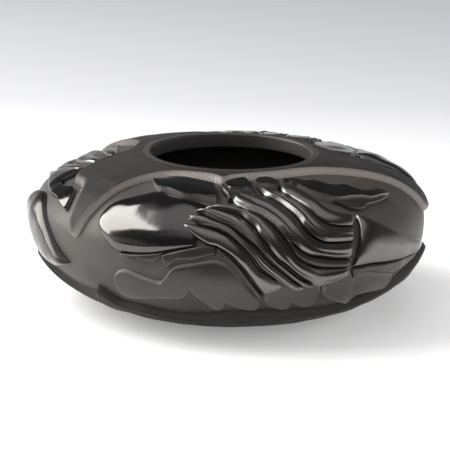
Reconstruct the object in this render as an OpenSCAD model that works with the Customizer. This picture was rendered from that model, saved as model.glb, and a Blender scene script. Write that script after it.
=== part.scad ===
// Flattened pot of burnished black clay, carved all round in low relief.
// The origin is the middle of the base, +Z points up and the first panel faces -Y.

/* [Pot] */
// Radius of the belly at its widest, over the relief
belly_r = 90; // [72:1:110]
// Height of the widest ring above the table
belly_z = 38; // [31:0.5:46]
// Height of the mouth above the table
height = 67.2; // [58:0.1:82]
// Radius of the mouth
mouth_r = 36; // [28:0.5:44]
// Radius of the base that the pot stands on
base_r = 47; // [38:0.5:58]
// Fullness of the shoulder curve (2 is an ellipse)
shoulder_fullness = 2.5; // [2.1:0.1:2.9]
// Fullness of the curve under the belly
foot_fullness = 2.3; // [2.05:0.05:2.6]

/* [Walls] */
// Thickness of the wall behind the relief
wall = 4; // [3:0.25:5.5]
// Thickness of the base disc
base_t = 6; // [4:0.5:8]
// Width of the lip ring's flat top
lip_w = 3.4; // [2.5:0.1:4]
// Rounding of the lip's edges
lip_round = 1; // [0.4:0.1:1.5]

/* [Relief] */
// Depth of the carving, from the ground to the outer skin
relief = 2.8; // [2:0.1:3.8]
// Film of slip between a raised piece and the ground
slip = 0.15; // [0.05:0.05:0.3]
// Width of the sloping cut along the matte shoulder and base slabs
bevel_w = 2.4; // [1.5:0.1:3]
// How much further the round strands stand out than the ground is deep, as a share of it
strand_swell = 0.12; // [0:0.02:0.3]
// Turn from the first carved panel to its twin
panel_turn = 139; // [136:1:141]

/* [Hidden] */
$fn = 96;

// The two panels that carry the same pieces, and the turn of each.
PANELS = [["front", 0], ["rear", panel_turn]];
PANEL_PIECES = [
    "pod", "pod_lip", "stem", "cloud_leaf", "crest", "keel", "tip_left", "tip_right",
    "strand_1", "strand_2", "strand_3", "strand_4", "strand_5", "strand_6", "strand_7",
    "strand_8", "strand_9", "wave", "wave_lip", "horn", "horn_fold", "middle_leaf", "right_leaf",
];
SIDE_PIECES = ["hook", "crescent", "finger_1", "finger_2", "finger_3", "side_leaf"];

POLISHED = [0.10, 0.098, 0.095];
SATIN = [0.20, 0.195, 0.19];
MATTE = [0.26, 0.25, 0.24];

// ---- the profile: two arcs of superellipse that meet at the widest ring ----

// Steps from the base to the widest ring, as many again to the lip ring, and a few across the lip ring.
ARC_STEPS = 22;
LIP_STEPS = 3;
LIP_START = 2 * ARC_STEPS;
TOP = LIP_START + LIP_STEPS;
function reach(r, power) = pow(1 - pow(r / belly_r, power), 1 / power);
shoulder_rise = (height - belly_z) / reach(mouth_r, shoulder_fullness);
foot_drop = belly_z / reach(base_r, foot_fullness);
function shoulder_angle(r) = acos(pow(r / belly_r, shoulder_fullness / 2));
lip_angle = shoulder_angle(mouth_r + lip_w);
mouth_angle = shoulder_angle(mouth_r);
base_angle = -acos(pow(base_r / belly_r, foot_fullness / 2));

function fullness(a) = a > 0 ? shoulder_fullness : foot_fullness;
function skin_r(a) = belly_r * pow(cos(a), 2 / fullness(a));
function skin_z(a) = a > 0
    ? belly_z + shoulder_rise * pow(sin(a), 2 / shoulder_fullness)
    : belly_z - foot_drop * pow(-sin(a), 2 / foot_fullness);

// Step i runs from 0 at the base, over ARC_STEPS at the widest ring and LIP_START, to TOP at the mouth.
function step_angle(i) =
    i < ARC_STEPS ? base_angle * (1 - i / ARC_STEPS)
    : i < LIP_START ? lip_angle * (i / ARC_STEPS - 1)
    : lip_angle + (mouth_angle - lip_angle) * (i - LIP_START) / LIP_STEPS;
skin = [for (i = [0 : TOP]) [skin_r(step_angle(i)), skin_z(step_angle(i))]];

function turn_right(v) = [v[1], -v[0]] / norm(v);
function skin_normal(i) = turn_right(skin[min(i + 1, TOP)] - skin[max(i - 1, 0)]);
function sunk(i, depth) = skin[i] - depth * skin_normal(i);

// Arc length up the skin from the widest ring, negative below it.
raw_length = [for (i = 0, d = 0; i <= TOP;
    d = d + (i < TOP ? norm(skin[i + 1] - skin[i]) : 0), i = i + 1) d];
arc = [for (d = raw_length) d - raw_length[ARC_STEPS]];
arc_base = arc[0];
arc_mouth = arc[TOP];

R_TABLE = [for (i = [0 : TOP]) [arc[i], skin[i][0]]];
Z_TABLE = [for (i = [0 : TOP]) [arc[i], skin[i][1]]];
NR_TABLE = [for (i = [0 : TOP]) [arc[i], skin_normal(i)[0]]];
NZ_TABLE = [for (i = [0 : TOP]) [arc[i], skin_normal(i)[1]]];

// ---- the carved outlines: [degrees round the pot from -Y, mm up the skin from the widest ring] ----

// Arc lengths of the belly that the outlines are drawn on; another belly stretches them.
DRAWN_UP = 67.3;
DRAWN_DOWN = 62.4;
mm_per_degree = PI * belly_r / 180;

function arc_at(s) = s > 0 ? s * arc_mouth / DRAWN_UP : -s * arc_base / DRAWN_DOWN;

// The place at outline point p, lifted by lift above the ground of the carving.
function place(p, lift) =
    let (
        s = arc_at(p[1]),
        out = lift - relief,
        r = lookup(s, R_TABLE) + out * lookup(s, NR_TABLE),
        z = lookup(s, Z_TABLE) + out * lookup(s, NZ_TABLE)
    )
    [r * sin(p[0]), -r * cos(p[0]), z];

function gap(p, q) = norm([(q[0] - p[0]) * mm_per_degree, q[1] - p[1]]);
function lengths(line) = [for (i = 0, d = 0; i < len(line);
    d = d + (i < len(line) - 1 ? gap(line[i], line[i + 1]) : 0), i = i + 1) d];
function along(line, d, t) =
    let (far = t * d[len(d) - 1])
    [for (k = [0, 1]) lookup(far, [for (i = [0 : len(line) - 1]) [d[i], line[i][k]]])];

// A smooth line through the points, with STEPS_PER_POINT places for each; a closed one goes once round.
STEPS_PER_POINT = 3;
function spline(a, b, c, d, t) =
    b + 0.5 * t * (c - a + t * (2 * a - 5 * b + 4 * c - d + t * (3 * b - a - 3 * c + d)));
function smooth(line) = let (last = len(line) - 1) concat(
    [for (i = [0 : last - 1]) for (k = [0 : STEPS_PER_POINT - 1])
        spline(line[max(i - 1, 0)], line[i], line[i + 1], line[min(i + 2, last)], k / STEPS_PER_POINT)],
    [line[last]]
);
function wrapped(line, i) =
    let (n = len(line), lap = floor(i / n))
    line[i - lap * n] + [360 * lap, 0];
function smooth_round(line) = [
    for (i = [0 : len(line) - 1]) for (k = [0 : STEPS_PER_POINT - 1])
        spline(wrapped(line, i - 1), line[i], wrapped(line, i + 1), wrapped(line, i + 2), k / STEPS_PER_POINT)
];
function even(line, count) = let (d = lengths(line)) [for (i = [0 : count]) along(line, d, i / count)];

// Rounded section across a raised piece: t runs from one edge to the other.
function crown(t, power) = pow(max(0, 1 - pow(abs(2 * t - 1), power)), 0.5);

function grid_faces(cols, rows, start, flip) = [
    for (i = [0 : cols - 1]) for (j = [0 : rows - 1])
        let (a = start + i * (rows + 1) + j, b = a + rows + 1)
        each flip ? [[a, b, b + 1], [a, b + 1, a + 1]] : [[a, b + 1, b], [a, a + 1, b + 1]]
];

// A closed cushion on the ground between two outlines that both run left to right.
module raised(low, high, rise, edge = 0.3, power = 2.6, ends = 0.12, cols = 14, rows = 4) {
    low_line = even(smooth(low), cols);
    high_line = even(smooth(high), cols);
    side = (cols + 1) * (rows + 1);
    function taper(i) = ends == 0 ? 1 : min(1, sqrt(max(0, min(i, cols - i) / cols / ends)));
    function lift(i, j) = rise * (edge + (1 - edge) * crown(j / rows, power) * taper(i));
    function spot(i, j) = low_line[i] + (high_line[i] - low_line[i]) * j / rows;
    top = [for (i = [0 : cols]) for (j = [0 : rows]) place(spot(i, j), slip + lift(i, j))];
    under = [for (i = [0 : cols]) for (j = [0 : rows]) place(spot(i, j), slip)];
    rim = concat(
        [for (i = [0 : cols]) i * (rows + 1)],
        [for (j = [1 : rows]) cols * (rows + 1) + j],
        [for (i = [cols - 1 : -1 : 0]) i * (rows + 1) + rows],
        [for (j = [rows - 1 : -1 : 1]) j]
    );
    last = len(rim) - 1;
    sides = [
        for (k = [0 : last])
            let (a = rim[k], b = rim[k == last ? 0 : k + 1])
            each [[a, b, b + side], [a, b + side, a + side]]
    ];
    polyhedron(
        concat(top, under),
        concat(grid_faces(cols, rows, 0, false), grid_faces(cols, rows, side, true), sides)
    );
}

// A closed band that goes all the way round, from the line of cut edges to a plain ring.
// edge_line is where the sloping cut meets the ground, ring is how far up the skin the plain ring lies.
module slab(edge_line, ring, rows) {
    foot = smooth_round(edge_line);
    cols = len(foot);
    inward = ring > edge_line[0][1] ? 1 : -1;
    function heading(i) = let (d = wrapped(foot, i + 1) - wrapped(foot, i - 1)) [d[0] * mm_per_degree, d[1]];
    function brow(i) =
        let (v = heading(i), n = [-v[1], v[0]] / norm(v) * bevel_w * inward)
        foot[i] + [n[0] / mm_per_degree / 2, n[1]];
    function row(i, j) = let (b = brow(i)) [b[0], b[1] + (ring - b[1]) * j / rows];
    section = [for (i = [0 : cols - 1]) concat(
        [place(foot[i], slip), place(foot[i], 2 * slip)],
        [for (j = [0 : rows]) place(row(i, j), relief)],
        [for (j = [rows : -1 : 0]) place(row(i, j), slip)]
    )];
    count = len(section[0]);
    polyhedron(
        [for (points = section) each points],
        [for (i = [0 : cols - 1]) for (j = [0 : count - 1])
            let (
                next = ((i + 1) % cols) * count,
                a = i * count + j,
                b = i * count + (j + 1) % count,
                c = next + (j + 1) % count,
                d = next + j
            )
            each inward > 0 ? [[a, b, c], [a, c, d]] : [[a, c, b], [a, d, c]]]
    );
}

// ---- the thrown body ----

inner_depth = relief + wall;
base_top_step = min([for (i = [1 : ARC_STEPS]) if (sunk(i, inner_depth)[1] >= base_t) i]);

module ring_of(points) rotate_extrude() polygon(points);

module base_disc() color(MATTE)
    ring_of(concat(
        [[0, 0], [sunk(0, relief)[0], 0]],
        [for (i = [0 : base_top_step]) sunk(i, relief)],
        [sunk(base_top_step, inner_depth)],
        [[0, sunk(base_top_step, inner_depth)[1]]]
    ));

// One coil of the wall, between two steps of the profile.
module coil(from, to) ring_of(concat(
    [for (i = [from : to]) sunk(i, relief)],
    [for (i = [to : -1 : from]) sunk(i, inner_depth)]
));

foot_top_step = round((base_top_step + ARC_STEPS) / 2) + 1;
shoulder_step = round(1.45 * ARC_STEPS);

module foot_wall() color(SATIN) coil(base_top_step, foot_top_step);
module lower_wall() color(SATIN) coil(foot_top_step, ARC_STEPS);
module upper_wall() color(SATIN) coil(ARC_STEPS, shoulder_step);
module shoulder_wall() color(SATIN) coil(shoulder_step, LIP_START);

lip_bottom = height - inner_depth;
module lip_ring() color(MATTE)
    ring_of(concat(
        [for (i = [LIP_START : TOP]) if (skin[i][0] > mouth_r + 1.2 * lip_round) skin[i]],
        [for (a = [0 : 15 : 90]) [mouth_r + lip_round * (1 - sin(a)), height - lip_round * (1 - cos(a))]],
        [for (a = [0 : 15 : 90]) [mouth_r + lip_round * (1 - cos(a)), lip_bottom + lip_round * (1 - sin(a))]],
        [sunk(LIP_START, inner_depth)]
    ));

// ---- the two matte slabs, with the cut edge of each running round the pot ----

// The cut edge over one panel, from the tongue on its left to the tongue on its right.
PANEL_BROW = [
    [-48, 4], [-46.4, 8], [-45.4, 20], [-45.6, 34], [-43.4, 45], [-38, 53], [-30, 57.4], [-18, 58.6],
    [-9, 57.4], [-4, 54.6], [1, 57.4], [12, 59.4], [30, 60], [45, 59], [55, 56], [63, 51], [70, 44],
    [75, 36.5],
    [78, 28], [79, 18], [80.6, 8],
];
SIDE_BROW = [
    [226, 7], [228.4, 18], [230, 30], [233.6, 44], [241, 53], [251, 56], [262, 56], [268, 53.6], [273, 47.6],
    [279, 40], [284, 33.4], [289, 29.6], [295, 30], [300, 27.4], [304.6, 20.6], [307.6, 14], [309.6, 7],
];
shoulder_edge = concat(PANEL_BROW, [for (p = PANEL_BROW) [p[0] + panel_turn, p[1]]], SIDE_BROW);

module shoulder_slab() color(MATTE)
    slab(shoulder_edge, DRAWN_UP * arc[LIP_START] / arc_mouth, 3);

PANEL_FOOT = [
    [-45, -25], [-42, -19], [-39, -23], [-36, -29], [-28, -30], [-20, -34], [-8, -33], [0, -28], [14, -27],
    [26, -30], [36, -31], [44, -28], [54, -22], [62, -18], [70, -11], [76, -6], [82, -11], [86, -22],
];
SIDE_FOOT = [[230, -24], [238, -28], [250, -30], [262, -26], [274, -17], [284, -13], [296, -23], [306, -27]];
base_edge = concat(PANEL_FOOT, [for (p = PANEL_FOOT) [p[0] + panel_turn, p[1]]], SIDE_FOOT);

module base_slab() color(MATTE)
    slab(base_edge, -DRAWN_DOWN, 4);

// ---- the raised pieces of one carved panel ----

rise = relief;
strand_rise = relief * (1 + strand_swell);

POD_LOW = [
    [-41, 18], [-40, 13], [-38, 9], [-35, 5.5], [-32, 3], [-28, 2.5], [-22, 3.5], [-16, 6], [-9, 9],
];
POD_HIGH = [
    [-41, 19], [-40, 25], [-38, 30], [-35, 34], [-30, 39.5], [-27, 41], [-22, 38.5], [-14, 36.5], [-8, 34.5],
];
module pod() color(POLISHED)
    raised(POD_LOW, POD_HIGH, rise * 1.2, edge = 0.15, power = 2, ends = 0.35, cols = 16, rows = 7);

// The thin lip under the pod, with two small bumps.
module pod_lip() color(POLISHED)
    raised(
        [[-31, 1.6], [-28, 0], [-25.5, 1.4], [-24, 0.2], [-20.5, 0.2], [-18.5, 2.8]],
        [[-31, 2.4], [-27, 2.2], [-22, 3.2], [-17.5, 5]], rise * 0.7, cols = 10, rows = 2
    );

module stem() color(SATIN)
    raised(
        [[-18.5, 3], [-17, -2], [-15, 1], [-13.5, 2], [-10, 2.5], [-7, 4], [-5, 5], [-3.5, 5.4]],
        [[-18.5, 4], [-15, 5.8], [-10, 7.5], [-6, 9.2], [-3.5, 8.8]], rise * 0.75, cols = 12, rows = 2
    );

module cloud_leaf() color(SATIN)
    raised(
        [
            [-33, -9], [-33, -17], [-31, -20.4], [-28, -20.8], [-22, -18.6], [-15, -17.5], [-12, -15],
            [-10.5, -11.5],
            [-9, -15], [-7, -18], [-5, -22], [-3, -23.8], [-1.5, -21], [-1, -18], [1, -20.5], [4, -22.8],
            [6.5, -24],
            [8.5, -22.5], [9, -17],
        ],
        [
            [-32, -6.5], [-29, -5], [-24, -7.2], [-19, -8.5], [-17, -5], [-15, -0.5], [-12, 1], [-8, 2.4],
            [-4, 3.6],
            [-1, 2], [1, -0.4], [3, -4.4], [5, -9.4], [7, -13.4], [9, -16.8],
        ],
        rise, edge = 0.6, power = 6, ends = 0, cols = 26, rows = 3
    );

module crest() color(POLISHED)
    raised(
        [[-36, 47], [-30, 42], [-25, 41.5], [-18, 38.6], [-12, 39], [-5, 37]],
        [[-36, 51.6], [-31, 56], [-25, 57], [-20, 56.6], [-13, 55], [-8, 52], [-5.5, 46]],
        rise, edge = 0.5, ends = 0.15, cols = 14, rows = 4
    );

module keel() color(SATIN)
    raised(
        [[-4.8, 51], [-3.4, 45], [-1.4, 40.5], [-1, 37]],
        [[-3.2, 51.6], [-1.6, 46.4], [0.4, 41.4], [0.6, 37]], rise, cols = 8, rows = 2
    );

module tip_left() color(POLISHED)
    raised(
        [[-2.6, 50], [0, 45.6], [5, 45.4], [9.4, 45]],
        [[-2.4, 52], [0, 54.6], [4, 57], [8, 57], [10, 50]], rise, edge = 0.5, cols = 8, rows = 3
    );

module tip_right() color(POLISHED)
    raised(
        [[12, 51.4], [15.4, 49.6], [19, 47.2], [21, 47]],
        [[12, 53], [14, 56.4], [18, 58], [22, 56.6], [24, 51]], rise, edge = 0.5, cols = 8, rows = 3
    );

// The lines cut between the strands, each from its upper left end to its lower right end.
CUT_1 = [[-3, 6.5], [-1, 4.4], [1, 1.4], [3, -2.6], [5, -7.4], [6.5, -11.4], [8.6, -15.6]];
CUT_2 = [
    [-15, 18], [-12, 15.5], [-9, 12.5], [-6, 10], [-3.5, 9], [0, 5.5], [2, 2.5], [4, -1], [6, -5.5], [8, -10],
    [9.8, -14],
];
CUT_3 = [
    [-14.6, 20], [-11, 20], [-5, 18], [-2, 16], [0, 14], [2, 11], [4, 8], [6, 4.5], [8, 0], [12, -5],
    [16, -9.5],
    [19, -12.5],
];
CUT_4 = [
    [-14, 25.6], [-9.5, 26], [-7, 24.5], [-4, 22], [-1, 20], [1, 18], [3, 15], [5, 12], [7, 9], [9, 5.5],
    [12, 1],
    [15, -3], [18, -7], [22, -11.4],
];
CUT_5 = [
    [-9.4, 30], [-4, 29], [0, 28], [3, 26], [5, 22.5], [7, 19], [8, 15], [9.5, 11], [11, 7], [13, 3],
    [16, -1],
    [19, -5], [22, -8], [25, -11],
];
CUT_6 = [
    [-5, 33.6], [0, 32], [3, 30], [6, 28.5], [9, 26], [11, 23], [13, 19], [14, 16], [15.5, 12], [16.5, 8],
    [18, 4],
    [21, 1], [24, -1], [28, -2], [34.5, -3],
];
CUT_7 = [[16.8, 12.6], [17.6, 9.6], [19.4, 6.6], [22, 4.2], [26, 2.6], [30, 1.2], [35, 0.4]];
CUT_8 = [
    [4, 44.6], [10, 44], [13, 40], [16, 36], [18, 32], [20, 26], [21, 22], [21.5, 18], [23, 14], [25, 11],
    [28, 9],
    [36.5, 8],
];
CUT_9 = [[20, 48], [21, 43], [23, 38], [25, 32], [27, 25], [28, 21], [30, 18], [33, 16], [38, 15]];
CUT_10 = [[27, 50], [29.5, 46], [31.5, 40], [32, 34], [33, 28.5], [35, 25], [38, 22.4], [41, 21]];

KERF = 0.35;
function left_of(line) = [for (p = line) [p[0] - KERF, p[1]]];
function right_of(line) = [for (p = line) [p[0] + KERF, p[1]]];

module strand(low, high)
    raised(right_of(low), left_of(high), strand_rise, edge = 0.25, power = 2, ends = 0.1, rows = 3);

module strand_1() color(SATIN) strand(CUT_1, [for (i = [4 : 10]) CUT_2[i]]);
module strand_2() color(POLISHED) strand(CUT_2, [for (i = [0 : 10]) CUT_3[i]]);
module strand_3() color(POLISHED) strand(CUT_3, CUT_4);
module strand_4() color(POLISHED) strand(CUT_4, CUT_5);
module strand_5() color(POLISHED) strand(concat(CUT_5, [[34.6, -7]]), CUT_6);
module strand_6() color(SATIN) strand([for (i = [8 : 14]) CUT_6[i]], CUT_7);
module strand_7() color(POLISHED)
    strand(
        concat(
            [[1, 43], [0.6, 37], [2, 33.4], [4, 30.8]],
            [for (i = [3 : 8]) CUT_6[i]], [for (i = [1 : 6]) CUT_7[i]]
        ),
        CUT_8
    );
module strand_8() color(POLISHED)
    strand(concat([[12, 50], [12.4, 45]], [for (i = [2 : 11]) CUT_8[i]]), CUT_9);
module strand_9() color(POLISHED) strand(concat([[22.6, 50]], [for (i = [1 : 8]) CUT_9[i]]), CUT_10);

module wave() color(POLISHED)
    raised(
        [
            [30, 46.6], [32.4, 40], [35, 35], [38, 32.5], [42, 31], [46, 30.5], [50, 29], [53, 27], [58, 26],
            [63.5, 25],
        ],
        [
            [26, 52.4], [28, 54], [33, 53], [36, 50], [41, 48], [43, 44], [46, 41], [50, 40], [52, 36],
            [54, 33],
            [58, 31], [62, 30], [64.4, 27],
        ],
        rise, edge = 0.6, power = 4, cols = 18, rows = 3
    );

module wave_lip() color(SATIN)
    raised(
        [[41.5, 24.8], [44, 23.4], [47, 23], [50, 24.4], [54, 24.2], [58, 24], [63.5, 24.4]],
        [[38, 32], [42, 30.6], [46, 30.1], [50, 28.6], [53, 26.6], [58, 25.6], [63.5, 24.8]],
        rise * 0.8, edge = 0.6, power = 4, cols = 12, rows = 2
    );

module horn() color(POLISHED)
    raised(
        [[35.8, -3.4], [42, -3.4], [50, -4.8], [56, -5.4], [63, -5.8], [70, -4.4]],
        [[41.6, 21], [46, 16], [50, 11.2], [55, 6.8], [60, 3.2], [66, 0.2], [71, -3.2]],
        strand_rise, edge = 0.3, power = 2, ends = 0, cols = 14, rows = 5
    );

module horn_fold() color(SATIN)
    raised(
        [[36.2, -10.2], [38, -8], [41, -7.6], [45, -9], [50, -11], [54, -12.4], [62, -11], [69, -6.4]],
        [[35.8, -4], [42, -4], [50, -5.4], [56, -6], [63, -6.4], [70, -5]],
        rise * 0.7, edge = 0.5, cols = 14, rows = 2
    );

module middle_leaf() color(SATIN)
    raised(
        [
            [10.2, -17.6], [12, -21], [15, -23.5], [17, -24], [18, -22.5], [18, -18.8], [20, -20.8],
            [22, -23],
            [24, -23], [25.5, -21], [25.4, -17.5], [26, -12.4],
        ],
        [[10.4, -14.4], [12, -9.6], [14, -9.6], [17, -12], [19, -13.4], [22, -12.6], [25.6, -11.8]],
        rise, edge = 0.6, power = 6, ends = 0, cols = 18, rows = 3
    );

module right_leaf() color(SATIN)
    raised(
        [
            [27, -15], [30, -19.5], [33, -22], [36, -24.5], [38, -26], [39, -23], [39.6, -20], [42, -20.4],
            [46, -21],
            [50, -22], [53, -21.5], [54, -18], [54, -14.4],
        ],
        [
            [26.6, -11.6], [30, -9], [35.4, -8.4], [36.2, -11], [38, -9], [41, -8.4], [45, -9.8], [50, -11.8],
            [54, -13.2],
        ],
        rise, edge = 0.6, power = 6, ends = 0, cols = 20, rows = 3
    );

// ---- the raised pieces of the narrower side panel ----

module hook() color(POLISHED)
    raised(
        [[-100, 15], [-92, 19.6], [-82, 19], [-72, 17.6], [-66, 17.6], [-62, 16.4], [-57, 14.6]],
        [
            [-100, 17], [-92, 24], [-88, 31], [-80, 34.6], [-77.6, 31], [-76, 26], [-70, 25], [-66, 27],
            [-62.6, 26],
            [-59, 21.6], [-56.6, 16],
        ],
        rise, edge = 0.5, cols = 18, rows = 3
    );

module crescent() color(POLISHED)
    raised(
        [[-92, -2], [-84, -6], [-78, -10], [-70, -16], [-62, -16.4], [-57, -14], [-51.4, -10]],
        [[-92, 6], [-84, 14], [-78, 16], [-72, 13.4], [-65, 6.6], [-60, 0.6], [-55, -5.4], [-51.2, -9]],
        strand_rise, edge = 0.25, power = 2, cols = 14, rows = 5
    );

module finger(low, high) raised(low, high, strand_rise, edge = 0.3, power = 2, rows = 3);

module finger_1() color(POLISHED)
    finger(
        [[-124, 13], [-112, 19], [-100, 20], [-90, 25.4], [-84, 34]],
        [[-124, 17], [-112, 24], [-100, 27], [-92, 33], [-84.4, 37]]
    );
module finger_2() color(POLISHED)
    finger(
        [[-125.5, 22.4], [-116, 27], [-102, 30], [-94, 36], [-88, 41.4]],
        [[-125.5, 27.4], [-116, 33], [-104, 38], [-96, 43], [-88.4, 44]]
    );
module finger_3() color(POLISHED)
    finger(
        [[-126.4, 32.6], [-120, 36], [-108, 41], [-98, 46.4], [-93, 49.4]],
        [[-126.4, 39], [-120, 43], [-110, 48], [-100, 51], [-93.4, 51.4]]
    );

module side_leaf() color(SATIN)
    raised(
        [
            [-129.6, 3], [-129, -8], [-126.4, -13.4], [-122, -14.6], [-119, -9], [-114, -15], [-107, -17],
            [-103, -10],
            [-98, -15], [-94, -10],
        ],
        [[-129.4, 7], [-126, 8.4], [-120, 11], [-110, 12.6], [-102, 10], [-96, 2], [-94, -6]],
        rise, edge = 0.6, power = 6, ends = 0, cols = 20, rows = 3
    );

// ---- the assembly ----

module turned(panel) rotate([0, 0, panel[1]]) children();

base_disc();
foot_wall();
lower_wall();
upper_wall();
shoulder_wall();
lip_ring();
shoulder_slab();
base_slab();
for (p = PANELS) turned(p) pod();
for (p = PANELS) turned(p) pod_lip();
for (p = PANELS) turned(p) stem();
for (p = PANELS) turned(p) cloud_leaf();
for (p = PANELS) turned(p) crest();
for (p = PANELS) turned(p) keel();
for (p = PANELS) turned(p) tip_left();
for (p = PANELS) turned(p) tip_right();
for (p = PANELS) turned(p) strand_1();
for (p = PANELS) turned(p) strand_2();
for (p = PANELS) turned(p) strand_3();
for (p = PANELS) turned(p) strand_4();
for (p = PANELS) turned(p) strand_5();
for (p = PANELS) turned(p) strand_6();
for (p = PANELS) turned(p) strand_7();
for (p = PANELS) turned(p) strand_8();
for (p = PANELS) turned(p) strand_9();
for (p = PANELS) turned(p) wave();
for (p = PANELS) turned(p) wave_lip();
for (p = PANELS) turned(p) horn();
for (p = PANELS) turned(p) horn_fold();
for (p = PANELS) turned(p) middle_leaf();
for (p = PANELS) turned(p) right_leaf();
hook();
crescent();
finger_1();
finger_2();
finger_3();
side_leaf();
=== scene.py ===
"""A flattened pot of black clay, carved all round in low relief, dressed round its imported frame."""

import logging
import math
from dataclasses import dataclass, replace
from enum import Enum
from typing import Any, Sequence

import bmesh
import bpy
import numpy as np
from mathutils import Matrix, Vector


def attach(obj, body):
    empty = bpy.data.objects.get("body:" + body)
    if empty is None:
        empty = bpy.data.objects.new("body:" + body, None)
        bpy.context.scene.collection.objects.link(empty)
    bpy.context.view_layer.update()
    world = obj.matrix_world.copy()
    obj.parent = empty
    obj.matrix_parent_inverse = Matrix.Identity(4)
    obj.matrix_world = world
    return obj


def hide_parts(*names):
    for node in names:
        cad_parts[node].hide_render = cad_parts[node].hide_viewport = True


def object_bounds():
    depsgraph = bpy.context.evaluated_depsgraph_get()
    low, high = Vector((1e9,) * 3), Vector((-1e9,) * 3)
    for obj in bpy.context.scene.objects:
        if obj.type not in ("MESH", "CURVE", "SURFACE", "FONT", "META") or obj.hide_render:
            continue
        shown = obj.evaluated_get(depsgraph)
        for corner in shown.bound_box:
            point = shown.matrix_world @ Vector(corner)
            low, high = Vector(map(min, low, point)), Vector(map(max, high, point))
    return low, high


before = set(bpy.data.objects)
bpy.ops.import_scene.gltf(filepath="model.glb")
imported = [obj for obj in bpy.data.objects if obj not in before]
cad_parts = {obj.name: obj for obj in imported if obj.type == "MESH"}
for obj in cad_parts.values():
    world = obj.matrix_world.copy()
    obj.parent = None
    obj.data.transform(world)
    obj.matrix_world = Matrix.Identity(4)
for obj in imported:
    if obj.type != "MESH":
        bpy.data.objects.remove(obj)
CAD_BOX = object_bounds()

LOG = logging.getLogger("black_clay_pot")
MM = 0.001
SEED = 11
PANEL_TURN = 139.0  # degrees from the front panel round to the rear one
SHARP_ANGLE = 55.0  # edges steeper than this stay crisp
STEEP_EDGE = 0.8  # a piece with more than this share of its rise at the edge has an unrubbed wall
LINE_STEPS = 12  # places between two points of a raised piece's edge
ROUND_STEPS = 26  # places between two points of an edge that runs round the pot
Point = tuple[float, float]
Point3 = tuple[float, float, float]
Colour = tuple[float, float, float, float]
Line = Sequence[Point]


# ---------------------------------------------------------------- the belly and its coordinates


@dataclass
class Belly:
    """The pot's profile: two arcs of superellipse that meet at the widest ring, and places on it.

    A place is given by degrees round the pot from -Y towards +X, and by millimetres up the skin
    from the widest ring. Lengths inside the class are in millimetres.
    """

    belly_r: float = 90.0
    height: float = 67.2
    mouth_r: float = 36.0
    base_r: float = 47.0
    belly_z: float = 38.0
    relief: float = 2.8
    wall: float = 4.0
    shoulder_fullness: float = 2.5
    foot_fullness: float = 2.3
    samples: int = 900

    def __post_init__(self) -> None:
        """Works out the table of arc length, radius, height and normal."""
        shoulder_rise = (self.height - self.belly_z) / self._reach(self.mouth_r, self.shoulder_fullness)
        foot_drop = self.belly_z / self._reach(self.base_r, self.foot_fullness)
        low = -math.acos((self.base_r / self.belly_r) ** (self.foot_fullness / 2))
        high = math.acos((self.mouth_r / self.belly_r) ** (self.shoulder_fullness / 2))
        angle = np.concatenate([np.linspace(low, 0, self.samples), np.linspace(0, high, self.samples)[1:]])
        power = np.where(angle > 0, self.shoulder_fullness, self.foot_fullness)
        rise = np.where(angle > 0, shoulder_rise, foot_drop)
        self.r = self.belly_r * np.cos(angle) ** (2 / power)
        self.z = self.belly_z + np.sign(angle) * rise * np.abs(np.sin(angle)) ** (2 / power)
        steps = np.hypot(np.diff(self.r), np.diff(self.z))
        self.arc = np.concatenate([[0], np.cumsum(steps)])
        self.arc -= np.interp(0, angle, self.arc)
        dr, dz = np.gradient(self.r, self.arc), np.gradient(self.z, self.arc)
        size = np.hypot(dr, dz)
        self.nr, self.nz = dz / size, -dr / size

    def _reach(self, radius: float, power: float) -> float:
        """How far round its arc of superellipse a radius lies, as a share of the arc's rise."""
        return (1 - (radius / self.belly_r) ** power) ** (1 / power)

    @property
    def arc_base(self) -> float:
        """Arc length at the base, below zero."""
        return float(self.arc[0])

    @property
    def arc_mouth(self) -> float:
        """Arc length at the mouth."""
        return float(self.arc[-1])

    def place(self, degrees: np.ndarray, up: np.ndarray, lift: np.ndarray | float) -> np.ndarray:
        """Puts points on the belly.

        Args:
            degrees: angle round the pot of each point.
            up: millimetres up the skin of each point.
            lift: millimetres outward from the carved ground.

        Returns:
            The points in metres, one row each.
        """
        out = np.asarray(lift, float) - self.relief
        r = np.interp(up, self.arc, self.r) + out * np.interp(up, self.arc, self.nr)
        z = np.interp(up, self.arc, self.z) + out * np.interp(up, self.arc, self.nz)
        turn = np.radians(degrees)
        return np.stack([r * np.sin(turn), -r * np.cos(turn), z], -1) * MM

    def profile(self, low: float, high: float, depth: float, count: int) -> list[Point]:
        """Follows the wall at one depth.

        Args:
            low: arc length at which it starts.
            high: arc length at which it ends.
            depth: millimetres under the skin.
            count: how many points it gets.

        Returns:
            The points as (radius, height).
        """
        up = np.linspace(low, high, count)
        r = np.interp(up, self.arc, self.r) - depth * np.interp(up, self.arc, self.nr)
        z = np.interp(up, self.arc, self.z) - depth * np.interp(up, self.arc, self.nz)
        return list(zip(r.tolist(), z.tolist()))


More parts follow.
